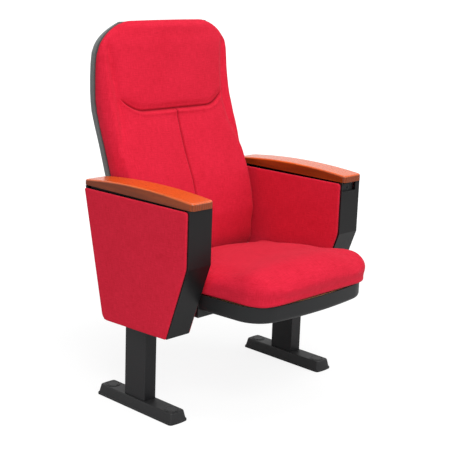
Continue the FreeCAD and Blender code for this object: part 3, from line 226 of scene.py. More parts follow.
def moulded(name, shade, worn, grain, rough, depth, gloss=0.28):
    """Moulded plastic: grain of a real size, slight clouding and paler rubbed edges."""
    made, tree, shader = finish_of(name, {"IOR": 1.49, "Specular IOR Level": gloss})
    place = add(tree, "ShaderNodeTexCoord").outputs["Object"]
    spark = add(
        tree, "ShaderNodeTexNoise", {"Vector": place, "Scale": 1 / grain, "Detail": 3.0}
    ).outputs["Fac"]
    cloud = add(
        tree, "ShaderNodeTexNoise", {"Vector": place, "Scale": 14.0, "Detail": 4.0}
    ).outputs["Fac"]
    edge, soft = edge_mask(tree, 1.2 * MM)
    rubbed = add(tree, "ShaderNodeMath", {0: edge, 1: cloud}, operation="MULTIPLY").outputs[0]
    deep = tuple(part * 0.75 for part in paint(shade)[:3]) + (1.0,)
    clouded = add(tree, "ShaderNodeMix", {0: cloud, 6: deep, 7: paint(shade)}, data_type="RGBA")
    tinted = add(
        tree, "ShaderNodeMix", {0: rubbed, 6: clouded.outputs[2], 7: paint(worn)}, data_type="RGBA"
    )
    tree.links.new(tinted.outputs[2], shader.inputs["Base Color"])
    matt = add(
        tree, "ShaderNodeMapRange",
        {
            "Value": cloud,
            "From Min": 0.3,
            "From Max": 0.7,
            "To Min": rough - 0.05,
            "To Max": rough + 0.06,
        },
    )
    tree.links.new(matt.outputs[0], shader.inputs["Roughness"])
    bump = add(
        tree, "ShaderNodeBump",
        {"Height": spark, "Strength": 0.5, "Distance": depth, "Normal": soft},
    )
    tree.links.new(bump.outputs[0], shader.inputs["Normal"])
    return made


# Polypropylene, mid black, spark eroded mould: grain 0.8 mm, low sheen.
shoe_plastic = moulded("polypropylene_spark_grain", "#2A2A2B", "#5A5A5A", 0.8 * MM, 0.5, 0.08 * MM)
dress(shoe_plastic, "left_foot_cover", "right_foot_cover", "left_bolt_caps", "right_bolt_caps")


# ---------------------------------------------------------------------------------------------
# Steelwork: foot plates, rectangular columns, arm rails, brackets and hinge plates, cut, welded
# and then powder coated satin black. The coating flows into a faint orange peel and is thin on
# the edges.
def coated(name, shade, rough):
    """Powder coat on steel: orange peel of about 2 mm, grey where the edges wear."""
    made, tree, shader = finish_of(name, {"IOR": 1.5, "Specular IOR Level": 0.3})
    place = add(tree, "ShaderNodeTexCoord").outputs["Object"]
    peel = add(
        tree, "ShaderNodeTexNoise", {"Vector": place, "Scale": 1 / (2 * MM), "Detail": 1.0}
    ).outputs["Fac"]
    patch = add(
        tree, "ShaderNodeTexNoise", {"Vector": place, "Scale": 9.0, "Detail": 5.0}
    ).outputs["Fac"]
    edge, soft = edge_mask(tree, 1.5 * MM)
    worn = add(
        tree, "ShaderNodeMath", {0: edge, 1: patch}, operation="MULTIPLY"
    ).outputs[0]
    tinted = add(
        tree, "ShaderNodeMix", {0: worn, 6: paint(shade), 7: paint("#5B5B5C")}, data_type="RGBA"
    )
    tree.links.new(tinted.outputs[2], shader.inputs["Base Color"])
    gloss = add(
        tree, "ShaderNodeMapRange",
        {
            "Value": patch,
            "From Min": 0.3,
            "From Max": 0.7,
            "To Min": rough - 0.06,
            "To Max": rough + 0.06,
        },
    )
    tree.links.new(gloss.outputs[0], shader.inputs["Roughness"])
    bump = add(
        tree, "ShaderNodeBump",
        {"Height": peel, "Strength": 0.35, "Distance": 0.1 * MM, "Normal": soft},
    )
    tree.links.new(bump.outputs[0], shader.inputs["Normal"])
    return made


powder_coat = coated("powder_coated_steel", "#18181A", 0.4)
dress(
    powder_coat, "left_foot_plate", "right_foot_plate", "left_column", "right_column",
    "left_arm_rail", "right_arm_rail", "left_back_bracket", "right_back_bracket",
    "left_seat_hinge", "right_seat_hinge", "lid_hinge_bar", "tablet_arm", "tablet_bracket",
    "tablet_pivot_pin",
)


# ---------------------------------------------------------------------------------------------
# Arm bands: bent strips of ABS that close the arm boxes in front, below and behind. Smoother
# than the shoes, with a soft gloss that shows the room.
band_plastic = moulded("abs_fine_grain", "#121213", "#38383A", 0.6 * MM, 0.32, 0.04 * MM)
dress(
    band_plastic, "left_front_band", "right_front_band", "left_base_band", "right_base_band",
    "left_rear_band", "right_rear_band", "left_cap_spacer",
)


# ---------------------------------------------------------------------------------------------
# Side panels: boards with thin foam, wrapped in woven polyester and pressed into the bands. The
# cloth turns over the edge in a small radius and lies flat on the face. Left and right arms have
# one outside and one towards the seat.
def woven(name, deep, bright):
    """Plain weave on the piece's own UV map, which is laid out in metres."""
    made, tree, shader = finish_of(
        name,
        {
            "IOR": 1.45,
            "Specular IOR Level": 0.15,
            "Roughness": 0.9,
            "Sheen Weight": 0.12,
            "Sheen Roughness": 0.4,
            "Sheen Tint": paint("#FF9AA6"),
        },
    )
    # Yarns stand 1.8 mm apart, half as dense as the real cloth, so that they show close up.
    pitch = 1.8 * MM
    cloth = add(tree, "ShaderNodeUVMap", uv_map="cloth").outputs[0]
    wander = add(tree, "ShaderNodeTexNoise", {"Vector": cloth, "Scale": 240.0, "Detail": 2.0})
    shift = add(
        tree, "ShaderNodeVectorMath",
        {0: wander.outputs["Color"], 1: (0.5, 0.5, 0.5)}, operation="SUBTRACT",
    )
    shift = add(
        tree, "ShaderNodeVectorMath", {0: shift.outputs[0], "Scale": 0.5 * MM}, operation="SCALE"
    )
    place = add(
        tree, "ShaderNodeVectorMath", {0: cloth, 1: shift.outputs[0]}, operation="ADD"
    ).outputs[0]
    turns = add(
        tree, "ShaderNodeVectorMath", {0: place, "Scale": math.pi / pitch}, operation="SCALE"
    ).outputs[0]
    axes = add(tree, "ShaderNodeSeparateXYZ", {0: turns})
    warp = add(tree, "ShaderNodeMath", {0: axes.outputs["X"]}, operation="SINE").outputs[0]
    weft = add(tree, "ShaderNodeMath", {0: axes.outputs["Y"]}, operation="SINE").outputs[0]
    crossing = add(tree, "ShaderNodeMath", {0: warp, 1: weft}, operation="MULTIPLY").outputs[0]
    over = add(
        tree, "ShaderNodeMapRange", {"Value": crossing, "From Min": -0.4, "From Max": 0.4}
    ).outputs[0]
    warp_top = add(tree, "ShaderNodeMath", {0: warp}, operation="ABSOLUTE").outputs[0]
    weft_top = add(tree, "ShaderNodeMath", {0: weft}, operation="ABSOLUTE").outputs[0]
    yarn = add(tree, "ShaderNodeMix", {0: over, 2: weft_top, 3: warp_top}).outputs[0]

    # Melange: single yarns are dyed a little deeper or paler along their length.
    dyes = []
    for stretch in ((45.0, 560.0, 1.0), (560.0, 45.0, 1.0)):
        long = add(tree, "ShaderNodeMapping", {"Vector": cloth, "Scale": stretch}).outputs[0]
        speck = add(tree, "ShaderNodeTexNoise", {"Vector": long, "Scale": 1.0, "Detail": 1.0})
        dyes.append(speck.outputs[0])
    dye = add(tree, "ShaderNodeMix", {0: over, 2: dyes[0], 3: dyes[1]}).outputs[0]
    broad = add(
        tree, "ShaderNodeTexNoise", {"Vector": cloth, "Scale": 9.0, "Detail": 6.0, "Roughness": 0.7}
    ).outputs[0]
    blend = add(tree, "ShaderNodeMix", {0: 0.25, 2: dye, 3: broad}).outputs[0]
    hollow = add(
        tree, "ShaderNodeMapRange", {"Value": yarn, "To Min": 0.72, "To Max": 1.0}
    ).outputs[0]
    level = add(tree, "ShaderNodeMath", {0: blend, 1: hollow}, operation="MULTIPLY").outputs[0]
    level = add(
        tree, "ShaderNodeMapRange", {"Value": level, "From Min": 0.2, "From Max": 0.65}
    ).outputs[0]
    tone = add(
        tree, "ShaderNodeMix", {0: level, 6: paint(deep), 7: paint(bright)}, data_type="RGBA"
    )
    # Painted shade: the cloth is coloured darker inside a sewn fold, where little light reaches, by
    # a share that each piece keeps on its points.
    painted_fold_shade = add(tree, "ShaderNodeAttribute", attribute_name="painted_fold_shade").outputs["Fac"]
    painted_fold_shade = add(tree, "ShaderNodeMath", {0: painted_fold_shade, 1: 0.75}, operation="MULTIPLY").outputs[0]
    tone = add(
        tree, "ShaderNodeMix", {0: painted_fold_shade, 6: tone.outputs[2], 7: paint("#6E0610")}, data_type="RGBA"
    )
    tree.links.new(tone.outputs[2], shader.inputs["Base Color"])
    bump = add(
        tree, "ShaderNodeBump", {"Height": yarn, "Strength": 0.55, "Distance": 0.25 * MM}
    )
    tree.links.new(bump.outputs[0], shader.inputs["Normal"])
    return made


upholstery = woven("woven_polyester_red", "#B40E22", "#DE2742")


def lay_cloth(mesh):
    """UV map in metres, laid flat from the side that each face looks to."""
    layer = mesh.uv_layers.get("cloth") or mesh.uv_layers.new(name="cloth")
    points = np.empty(len(mesh.vertices) * 3)
    mesh.vertices.foreach_get("co", points)
    points = points.reshape(-1, 3)
    facing = np.empty(len(mesh.polygons) * 3)
    mesh.polygons.foreach_get("normal", facing)
    sizes = np.empty(len(mesh.polygons), int)
    mesh.polygons.foreach_get("loop_total", sizes)
    used = np.empty(len(mesh.loops), int)
    mesh.loops.foreach_get("vertex_index", used)
    main = np.repeat(np.abs(facing.reshape(-1, 3)).argmax(1), sizes)
    across = np.where(main == 0, 1, 0)
    upward = np.where(main == 2, 1, 2)
    corners = points[used]
    rows = np.arange(len(used))
    flat = np.stack([corners[rows, across], corners[rows, upward]], 1)
    layer.data.foreach_set("uv", flat.ravel())


def piece(name, mesh, material, body):
    """Object for a finished mesh, with its material, on its body."""
    made = bpy.data.objects.new(name, mesh)
    scene.collection.objects.link(made)
    mesh.materials.clear()
    mesh.materials.append(material)
    for polygon in mesh.polygons:
        polygon.use_smooth = True
    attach(made, body)
    return made


# outline of a panel in Y and Z with the radius of each corner
PANEL = [
    (-205.5, 588, 8),
    (-205.5, 441, 60),
    (-135.5, 238.5, 3),
    (114, 231, 22),
    (195.5, 584, 3),
]
# steps from the board's edge over the wrapped edge to the middle: inward, outward
WRAP = [
    (0.0, 0.0), (0.0, 3.2), (0.35, 4.4), (1.1, 5.3), (2.3, 5.85), (4.5, 6.0), (14, 6.0), (40, 6.0)
]


def rounded_loop(inward, drop, steps=7):
    """Points round the panel's outline, drawn in by a distance, with its corners rounded."""
    spots = [Vector((y, z - drop * (z > 500))) for y, z, radius in PANEL]
    drawn = []
    for index, here in enumerate(spots):
        before = (spots[index - 1] - here).normalized()
        after = (spots[(index + 1) % len(spots)] - here).normalized()
        half = before.angle(after) / 2
        drawn.append(here + (before + after).normalized() * inward / math.sin(half))
    points = []
    for index, here in enumerate(drawn):
        radius = max(PANEL[index][2] - inward, 0.2)
        before = (drawn[index - 1] - here).normalized()
        after = (drawn[(index + 1) % len(drawn)] - here).normalized()
        half = before.angle(after) / 2
        centre = here + (before + after).normalized() * radius / math.sin(half)
        start = here + before * radius / math.tan(half) - centre
        stop = here + after * radius / math.tan(half) - centre
        for step in range(steps + 1):
            arm = start.normalized().slerp(stop.normalized(), step / steps)
            points.append(centre + arm * radius)
    return points


def side_panel(name, x, way, drop=0):
    """Wrapped panel on the plane x; way is the direction that it faces, drop lowers its top."""
    shape = bmesh.new()
    rings = []
    for inward, outward in WRAP:
        spots = rounded_loop(inward, drop)
        rings.append(
            [shape.verts.new((x + way * outward * MM, y * MM, z * MM)) for y, z in spots]
        )
    count = len(rings[0])
    for lower, upper in zip(rings, rings[1:]):
        for index in range(count):
            after = (index + 1) % count
            shape.faces.new((lower[index], lower[after], upper[after], upper[index]))
    shape.faces.new(rings[-1])
    shape.faces.new(rings[0])
    bmesh.ops.recalc_face_normals(shape, faces=shape.faces)
    mesh = bpy.data.meshes.new(name)
    shape.to_mesh(mesh)
    shape.free()
    lay_cloth(mesh)
    made = piece(name, mesh, upholstery, "standards")
    return made


ARM_CENTRE, BOX_HALF = 300 * MM, 40 * MM
for side, sign in (("left", -1), ("right", 1)):
    # The right outer panel ends 2.5 mm lower, under the hinge of the lid.
    under_hinge = 2.5 if side == "right" else 0
    outer = side_panel(side + "_outer_cover", sign * (ARM_CENTRE + BOX_HALF), sign, under_hinge)
    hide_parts(side + "_outer_panel")
    inner = side_panel(side + "_inner_cover", sign * (ARM_CENTRE - BOX_HALF), -sign)
    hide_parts(side + "_inner_panel")


# ---------------------------------------------------------------------------------------------
# Small steel parts: pins, pegs, bolts, screws and hinge leaves, turned or pressed and zinc
# plated. The plating has a fine turned grain and faint milky patches.
plating, tree, shader = finish_of("zinc_plated_steel", {"Metallic": 1.0})
place = add(tree, "ShaderNodeTexCoord").outputs["Object"]
stretched = add(
    tree, "ShaderNodeMapping", {"Vector": place, "Scale": (1.0, 14.0, 1.0)}
).outputs[0]
grain = add(
    tree, "ShaderNodeTexNoise", {"Vector": stretched, "Scale": 900.0, "Detail": 3.0}
).outputs["Fac"]
milky = add(
    tree, "ShaderNodeTexNoise", {"Vector": place, "Scale": 70.0, "Detail": 4.0}
).outputs["Fac"]
tone = add(
    tree, "ShaderNodeMix", {0: milky, 6: paint("#A9ABAE"), 7: paint("#CFD2D4")}, data_type="RGBA"
)
tree.links.new(tone.outputs[2], shader.inputs["Base Color"])
gloss = add(tree, "ShaderNodeMapRange", {"Value": grain, "To Min": 0.24, "To Max": 0.44})
tree.links.new(gloss.outputs[0], shader.inputs["Roughness"])
bump = add(tree, "ShaderNodeBump", {"Height": grain, "Strength": 0.2, "Distance": 0.02 * MM})
tree.links.new(bump.outputs[0], shader.inputs["Normal"])
dress(
    plating, "left_pivot_pin", "right_pivot_pin", "left_stop_peg", "right_stop_peg",
    "left_back_bolts", "right_back_bolts", "seat_screws", "lid_fixed_leaf", "lid_moving_leaf",
    "lid_hinge_pin",
)


# ---------------------------------------------------------------------------------------------
# Nylon bushes are injection moulded and left natural; rubber sleeves and pads are cut from tube
# and sheet. Both are plain, so they only have a faint mottle and a soft bump.
bush_nylon = moulded("natural_nylon", "#D9D5C8", "#E8E5DA", 1.0 * MM, 0.34, 0.03 * MM)
dress(bush_nylon, "left_seat_bush", "right_seat_bush")
rubber = moulded("epdm_rubber", "#1A1A1A", "#2B2B2B", 0.7 * MM, 0.78, 0.06 * MM)
dress(rubber, "left_stop_sleeve", "right_stop_sleeve", "lid_rest_pads", "tablet_rest")


# ---------------------------------------------------------------------------------------------
# Arm caps: solid beech, bandsawn to the long curve, sanded, stained cherry and lacquered. The
# grain runs the length of the arm; the stain gathers in the pores and is thinner on the edges.
lacquered, tree, shader = finish_of(
    "cherry_stained_beech",
    {"IOR": 1.5, "Specular IOR Level": 0.25, "Coat Weight": 0.35, "Coat Roughness": 0.1},
)
place = add(tree, "ShaderNodeTexCoord").outputs["Object"]
# Growth rings: bands 7 mm apart across the board that drift slowly along it.
plank = add(tree, "ShaderNodeMapping", {"Vector": place, "Scale": (1.0, 0.07, 1.0)}).outputs[0]
drift = add(
    tree, "ShaderNodeTexNoise", {"Vector": plank, "Scale": 26.0, "Detail": 3.0}
).outputs["Color"]
bent = add(
    tree, "ShaderNodeVectorMath", {0: drift, "Scale": 22 * MM}, operation="SCALE"
).outputs[0]
bent = add(tree, "ShaderNodeVectorMath", {0: plank, 1: bent}, operation="ADD").outputs[0]
rings = add(
    tree, "ShaderNodeTexWave",
    {"Vector": bent, "Scale": 2 * math.pi / (20 * 7 * MM), "Distortion": 1.2, "Detail": 3.0},
    wave_type="BANDS", bands_direction="X",
).outputs["Fac"]
# Pores: dark dashes 0.3 mm wide and about 8 mm long.
dashes = add(tree, "ShaderNodeMapping", {"Vector": place, "Scale": (3200.0, 120.0, 3200.0)})
pores = add(
    tree, "ShaderNodeTexNoise", {"Vector": dashes.outputs[0], "Scale": 0.5, "Detail": 2.0}
).outputs["Fac"]
pores = add(
    tree, "ShaderNodeMapRange", {"Value": pores, "From Min": 0.56, "From Max": 0.72}
).outputs[0]
figure = add(tree, "ShaderNodeMix", {0: 0.35, 2: rings, 3: drift}).outputs[0]
stain_and_side_shade = add(
    tree, "ShaderNodeMix", {0: figure, 6: paint("#C8480A"), 7: paint("#EC6A14")}, data_type="RGBA"
)
# Painted shade: the upright sides are coloured darker than the sanded top, as less light falls on
# them.
facing = add(tree, "ShaderNodeTexCoord").outputs["Normal"]
upward = add(tree, "ShaderNodeSeparateXYZ", {0: facing}).outputs["Z"]
painted_side_shade = add(
    tree, "ShaderNodeMapRange",
    {"Value": upward, "From Min": 0.25, "From Max": 0.75, "To Min": 1.0, "To Max": 0.0},
).outputs[0]
shaded_side_colour = add(
    tree, "ShaderNodeMix", {0: figure, 6: paint("#6E2C08"), 7: paint("#964012")}, data_type="RGBA"
)
stain_and_side_shade = add(
    tree, "ShaderNodeMix", {0: painted_side_shade, 6: stain_and_side_shade.outputs[2], 7: shaded_side_colour.outputs[2]}, data_type="RGBA"
)
darker = add(
    tree, "ShaderNodeMix", {0: pores, 6: stain_and_side_shade.outputs[2], 7: paint("#6B2006")}, data_type="RGBA"
)
edge, soft = edge_mask(tree, 2.0 * MM)
thin = add(tree, "ShaderNodeMath", {0: edge, 1: 0.35}, operation="MULTIPLY").outputs[0]
wood = add(
    tree, "ShaderNodeMix", {0: thin, 6: darker.outputs[2], 7: paint("#E88444")}, data_type="RGBA"
)
tree.links.new(wood.outputs[2], shader.inputs["Base Color"])
gloss = add(tree, "ShaderNodeMapRange", {"Value": pores, "To Min": 0.3, "To Max": 0.5})
tree.links.new(gloss.outputs[0], shader.inputs["Roughness"])
bump = add(
    tree, "ShaderNodeBump",
    {"Height": pores, "Strength": 0.25, "Distance": 0.05 * MM, "Normal": soft}, invert=True,
)
tree.links.new(bump.outputs[0], shader.inputs["Normal"])
dress(lacquered, "left_arm_cap", "right_arm_lid")


# ---------------------------------------------------------------------------------------------
# Stowed tablet: compact laminate, charcoal, with a fine pearl texture and a darker edge.
laminate = moulded("compact_laminate", "#3A3836", "#22211F", 1.4 * MM, 0.4, 0.05 * MM)
dress(laminate, "tablet_board")


# ---------------------------------------------------------------------------------------------
# Seat pan: a tray moulded in black polypropylene, deeper at the rear where the hinges are. It
# carries the board, and its front lip is what a hand takes hold of.
pan_plastic = moulded("polypropylene_pan", "#1F2021", "#444546", 1.0 * MM, 0.44, 0.07 * MM)
dress(pan_plastic, "seat_pan")


# ---------------------------------------------------------------------------------------------
# Seat and back boards: birch plywood of seven plies, bare, with the plies showing at the edges.
ply, tree, shader = finish_of("birch_plywood", {"IOR": 1.45, "Roughness": 0.62})
place = add(tree, "ShaderNodeTexCoord").outputs["Object"]
veneer = add(tree, "ShaderNodeMapping", {"Vector": place, "Scale": (6.0, 90.0, 90.0)}).outputs[0]
figure = add(
    tree, "ShaderNodeTexNoise", {"Vector": veneer, "Scale": 1.0, "Detail": 4.0}
).outputs["Fac"]
tone = add(
    tree, "ShaderNodeMix", {0: figure, 6: paint("#C49A66"), 7: paint("#DDB988")}, data_type="RGBA"
)
tree.links.new(tone.outputs[2], shader.inputs["Base Color"])
bump = add(tree, "ShaderNodeBump", {"Height": figure, "Strength": 0.3, "Distance": 0.1 * MM})
tree.links.new(bump.outputs[0], shader.inputs["Normal"])
dress(ply, "seat_board", "back_board")


# ---------------------------------------------------------------------------------------------
# Seat cushion: cut foam glued on the board, under a tight cover of the same cloth that is
# stapled round the board's edge. The foam pushes the cover out between its held edges.
def merged(name):
    """Closed copy of a CAD node's mesh."""
    shape = bmesh.new()
    shape.from_mesh(nodes[name].data)
    bmesh.ops.remove_doubles(shape, verts=shape.verts, dist=0.01 * MM)
    mesh = bpy.data.meshes.new(name + "_copy")
    shape.to_mesh(mesh)
    shape.free()
    return mesh


def points_of(mesh):
    """Vertex places as rows of numbers."""
    flat = np.empty(len(mesh.vertices) * 3)
    mesh.vertices.foreach_get("co", flat)
    return flat.reshape(-1, 3)


def normals_of(mesh):
    """Vertex normals as rows of numbers."""
    flat = np.empty(len(mesh.vertices) * 3)
    mesh.vertices.foreach_get("normal", flat)
    return flat.reshape(-1, 3)


def move_to(mesh, points):
    """Puts the vertices at the given places."""
    mesh.vertices.foreach_set("co", points.ravel())
    mesh.update()


def baked(holder):
    """The object's mesh with its modifiers applied, and the object removed."""
    shown = holder.evaluated_get(bpy.context.evaluated_depsgraph_get())
    mesh = bpy.data.meshes.new_from_object(shown)
    bpy.data.objects.remove(holder)
    return mesh


def averaged(mesh, values):
    """Mean of the values of each point's neighbours."""
    edges = np.empty(len(mesh.edges) * 2, int)
    mesh.edges.foreach_get("vertices", edges)
    first, second = edges.reshape(-1, 2).T
    total = np.zeros_like(values)
    for axis in range(3):
        total[:, axis] += np.bincount(first, values[second, axis], len(values))
        total[:, axis] += np.bincount(second, values[first, axis], len(values))
    return total / np.bincount(edges, minlength=len(values))[:, None]


def softened(mesh, rounds, strength=0.5):
    """Evens the surface out by drawing each point towards its neighbours."""
    points = points_of(mesh)
    for pull in [strength, -strength * 0.9] * rounds:
        points += (averaged(mesh, points) - points) * pull
    move_to(mesh, points)


def remeshed(mesh, voxel, rounds):
    """Even mesh of small squares over the same form."""
    holder = bpy.data.objects.new("remesh", mesh)
    scene.collection.objects.link(holder)
    change = holder.modifiers.new("even", "REMESH")
    change.mode = "VOXEL"
    change.voxel_size = voxel
    even = baked(holder)
    softened(even, rounds)
    return even


EVEN = 24  # rounds that even the movement out
LAST_FRAME = 20  # of the simulation


def swollen(mesh, hold, cap):
    """Blows the cover up under its own foam. hold is 1 where a point is fixed, cap the furthest
    that a point may move, both one number for each point."""
    holder = bpy.data.objects.new("swell", mesh)
    scene.collection.objects.link(holder)
    fixed = holder.vertex_groups.new(name="fixed")
    for index, weight in enumerate(hold):
        if weight > 0.01:
            fixed.add([index], float(weight), "REPLACE")
    cloth = holder.modifiers.new("cloth", "CLOTH")
    feel = cloth.settings
    feel.quality = 5
    feel.mass = 0.3
    feel.tension_stiffness = feel.compression_stiffness = 12
    feel.shear_stiffness = 6
    feel.bending_stiffness = 0.6
    feel.use_pressure = True
    feel.uniform_pressure_force = 4
    feel.vertex_group_mass = "fixed"
    feel.effector_weights.gravity = 0
    cloth.collision_settings.use_collision = False
    start = points_of(mesh)
    cloth.point_cache.frame_start, cloth.point_cache.frame_end = 1, LAST_FRAME
    for moment in range(1, LAST_FRAME + 1):
        scene.frame_set(moment)
    blown = baked(holder)
    scene.frame_set(1)
    moved = points_of(blown) - start
    far = np.linalg.norm(moved, axis=1, keepdims=True)
    moved *= np.minimum(1, cap[:, None] / np.maximum(far, 1e-9))
    # A taut cover has no small creases, so neighbours share their movement.
    for _ in range(EVEN):
        moved = averaged(blown, moved) * (1 - hold[:, None])
    move_to(blown, start + moved)
    return blown


def finer(mesh):
    """One round of subdivision."""
    holder = bpy.data.objects.new("finer", mesh)
    scene.collection.objects.link(holder)
    change = holder.modifiers.new("finer", "SUBSURF")
    change.levels = change.render_levels = 1
    return baked(holder)


def ramp(values, low, high):
    """0 below low, 1 above high, smooth between."""
    part = np.clip((values - low) / (high - low), 0, 1)
    return part * part * (3 - 2 * part)


SEAT_VOXEL = 6 * MM
seat_mesh = remeshed(merged("seat_cushion"), SEAT_VOXEL, 6)
# The simulation pushes the cover outwards, so the foam starts smaller: on top by this much, and at
# the sides most where the cover is drawn in under the board.
SEAT_IN = 3.5 * MM
ARM_FRONT = -215 * MM  # the cushion is free ahead of this and stands between the arms behind it
SEAT_HALF = 251.5 * MM  # its largest half width there
BESIDE = 225 * MM  # from here outwards a cushion's surface counts as its side
TUCK_ALL, TUCK_LOW, TUCK_AHEAD = 0.5, 5.5, 2.5  # how far the sides are drawn in, in millimetres
PLUMP_OUT, PLUMP_UP, PLUMP_WIDE = 9 * MM, 7 * MM, 2 * MM
REAR_UP = 3 * MM
points, facing = points_of(seat_mesh), normals_of(seat_mesh)
upright = 1 - np.abs(facing[:, 2])
drawn = 1 - ramp(points[:, 2], 350 * MM, 412 * MM)
ahead = 1 - ramp(points[:, 1], -230 * MM, -120 * MM)
inset = SEAT_IN * (1 - upright) * ramp(points[:, 2], 350 * MM, 362 * MM)
tuck = upright * (TUCK_ALL + (TUCK_LOW + TUCK_AHEAD * ahead) * drawn) * MM
points -= facing * (inset + tuck)[:, None]
# The front is plump: it stands forward over the pan, higher and a little wider than the rest.
plump = (1 - ramp(points[:, 1], -340 * MM, -200 * MM)) * ramp(points[:, 2], 356 * MM, 396 * MM)
points[:, 1] -= PLUMP_OUT * plump
points[:, 2] += PLUMP_UP * plump * ramp(points[:, 2], 385 * MM, 425 * MM)
outer = ramp(np.abs(points[:, 0]), 150 * MM, 230 * MM)
points[:, 0] += np.sign(points[:, 0]) * PLUMP_WIDE * plump * outer
# The rear edge is packed a little higher, up to the back cushion.
rear = ramp(points[:, 1], -10 * MM, 40 * MM)
points[:, 2] += REAR_UP * rear * ramp(points[:, 2], 365 * MM, 385 * MM)
move_to(seat_mesh, points)
points = points_of(seat_mesh)
held = 1 - ramp(points[:, 2], 350 * MM, 366 * MM)
# Little room at the sides, where the arms are, and behind, where the back is.
room = np.where(points[:, 1] < ARM_FRONT, 9 * MM, 7 * MM)
room = np.where(np.abs(points[:, 0]) > BESIDE, 4 * MM, room)
room = np.where(points[:, 1] > 30 * MM, 3 * MM, room)
seat_mesh = swollen(seat_mesh, held, room)
softened(seat_mesh, 8)
points = points_of(seat_mesh)
inside = (points[:, 1] > ARM_FRONT) & (np.abs(points[:, 0]) > SEAT_HALF)
points[inside, 0] = np.sign(points[inside, 0]) * SEAT_HALF
move_to(seat_mesh, points)
seat_mesh = finer(seat_mesh)
lay_cloth(seat_mesh)
seat_cover = piece("seat_cover", seat_mesh, upholstery, "seat")
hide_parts("seat_cushion")


# ---------------------------------------------------------------------------------------------
# Back shell: one large moulding in grey polypropylene that wraps the back of the foam, with a
# fine leather like mould grain.
shell_plastic = moulded("grey_polypropylene", "#6A706F", "#8D9291", 1.2 * MM, 0.46, 0.09 * MM, 0.4)
dress(shell_plastic, "back_shell")


# ---------------------------------------------------------------------------------------------
# Back cushion: moulded foam in a sewn cover of three panels and two sides. A cross seam turns up
# at its ends and a second seam runs down the middle from it; both are pulled into the foam. The
# front turns into the sides along a soft hollow that follows the waist.
SEAM_Z = 775.5 * MM
SEAM_FLAT = 120 * MM  # half the straight part of the cross seam
SEAM_END = 204 * MM  # where the seam runs out at the sides
# height of the hollow and its distance from the middle, in millimetres
TURN = [
    (540, 249), (594, 247), (640, 243), (680, 227), (731, 211), (784, 205), (838, 209), (879, 213),
    (960, 222),
]
# depth, width and distance from its own line of each form that is pressed into the front
HOLLOW = (8.5 * MM, 9 * MM, 0.0)
GROOVE, CHANNEL = (7.5 * MM, 3.6 * MM, 0.0), (6.5 * MM, 3.2 * MM, 0.0)
SLOPE, LIP = (4.5 * MM, 9 * MM, 7 * MM), (2.6 * MM, 5 * MM, -9 * MM)
RIM = (1.2 * MM, 5 * MM, 8 * MM)


def seam_height(x):
    """Height of the cross seam at a distance from the middle."""
    return SEAM_Z + 6.0 * np.maximum(np.abs(x) - SEAM_FLAT, 0) ** 2


def off_cross(points):
    """Signed height above the cross seam, and 1 where the seam has its full depth."""
    x, z = points[:, 0], points[:, 2]
    reach = 1 - ramp(np.abs(x), SEAM_END - 24 * MM, SEAM_END)
    return z - seam_height(x), reach


def off_middle(points):
    """Distance from the middle seam, and 1 where the seam has its full depth."""
    z = points[:, 2]
    reach = (1 - ramp(z, SEAM_Z - 3 * MM, SEAM_Z + 1 * MM)) * ramp(z, 380 * MM, 430 * MM)
    return np.abs(points[:, 0]), reach


def off_turn(points):
    """Distance outwards from the hollow at the side, and 1 where it has its full depth."""
    heights, places = np.array(TURN).T * MM
    z = points[:, 2]
    reach = ramp(z, 600 * MM, 740 * MM) * (1 - ramp(z, 945 * MM, 990 * MM))
    return np.abs(points[:, 0]) - np.interp(z, heights, places), reach


def pressed(distance, depth, width, centre):
    """Depth of such a form, bell shaped in section, at a distance from its line."""
    return depth * np.exp(-(((distance - centre) / width) ** 2))


cad_back = merged("back_cushion")
probe = bmesh.new()
probe.from_mesh(cad_back)
skin = BVHTree.FromBMesh(probe)
probe.free()


def front_at(x, z):
    """Y of the solid's front face, or None beside it."""
    hit = skin.ray_cast(Vector((x, -1, z)), Vector((0, 1, 0)))[0]
    return None if hit is None else hit.y


BACK_VOXEL = 6.5 * MM
back_mesh = remeshed(cad_back, BACK_VOXEL, 6)
# The solid's straight seam is filled first, so that the sewn one can take its own line.
points, facing = points_of(back_mesh), normals_of(back_mesh)
FILL = 24 * MM
for index in np.nonzero((np.abs(points[:, 2] - SEAM_Z) < FILL) & (facing[:, 1] < 0.15))[0]:
    x, y, z = points[index]
    below, beyond = front_at(x, SEAM_Z - FILL), front_at(x, SEAM_Z + FILL)
    if below is None or beyond is None:
        continue
    part = (z - SEAM_Z + FILL) / (2 * FILL)
    level = below + (beyond - below) * part
    if y - level < 20 * MM:
        points[index, 1] = min(y, level) if facing[index, 1] > -0.5 else level
move_to(back_mesh, points)
softened(back_mesh, 5)
BACK_IN = 4 * MM  # how much smaller the foam starts in front, for the simulation to fill
HEM_DOWN, CORNER_OUT = 13 * MM, 4.5 * MM
points, facing = points_of(back_mesh), normals_of(back_mesh)
front = ramp(-facing[:, 1], 0.1, 0.6)
points -= facing * (BACK_IN * front)[:, None]
# The cover's lower edge hangs a little below the foam, behind the seat.
points[:, 2] -= HEM_DOWN * (1 - ramp(points[:, 2], 352 * MM, 385 * MM))
# Its lower corners fill out towards the arms.
beside = ramp(np.abs(points[:, 0]), 195 * MM, 235 * MM)
low = 1 - ramp(points[:, 2], 370 * MM, 430 * MM)
points[:, 0] += np.sign(points[:, 0]) * CORNER_OUT * beside * low
move_to(back_mesh, points)

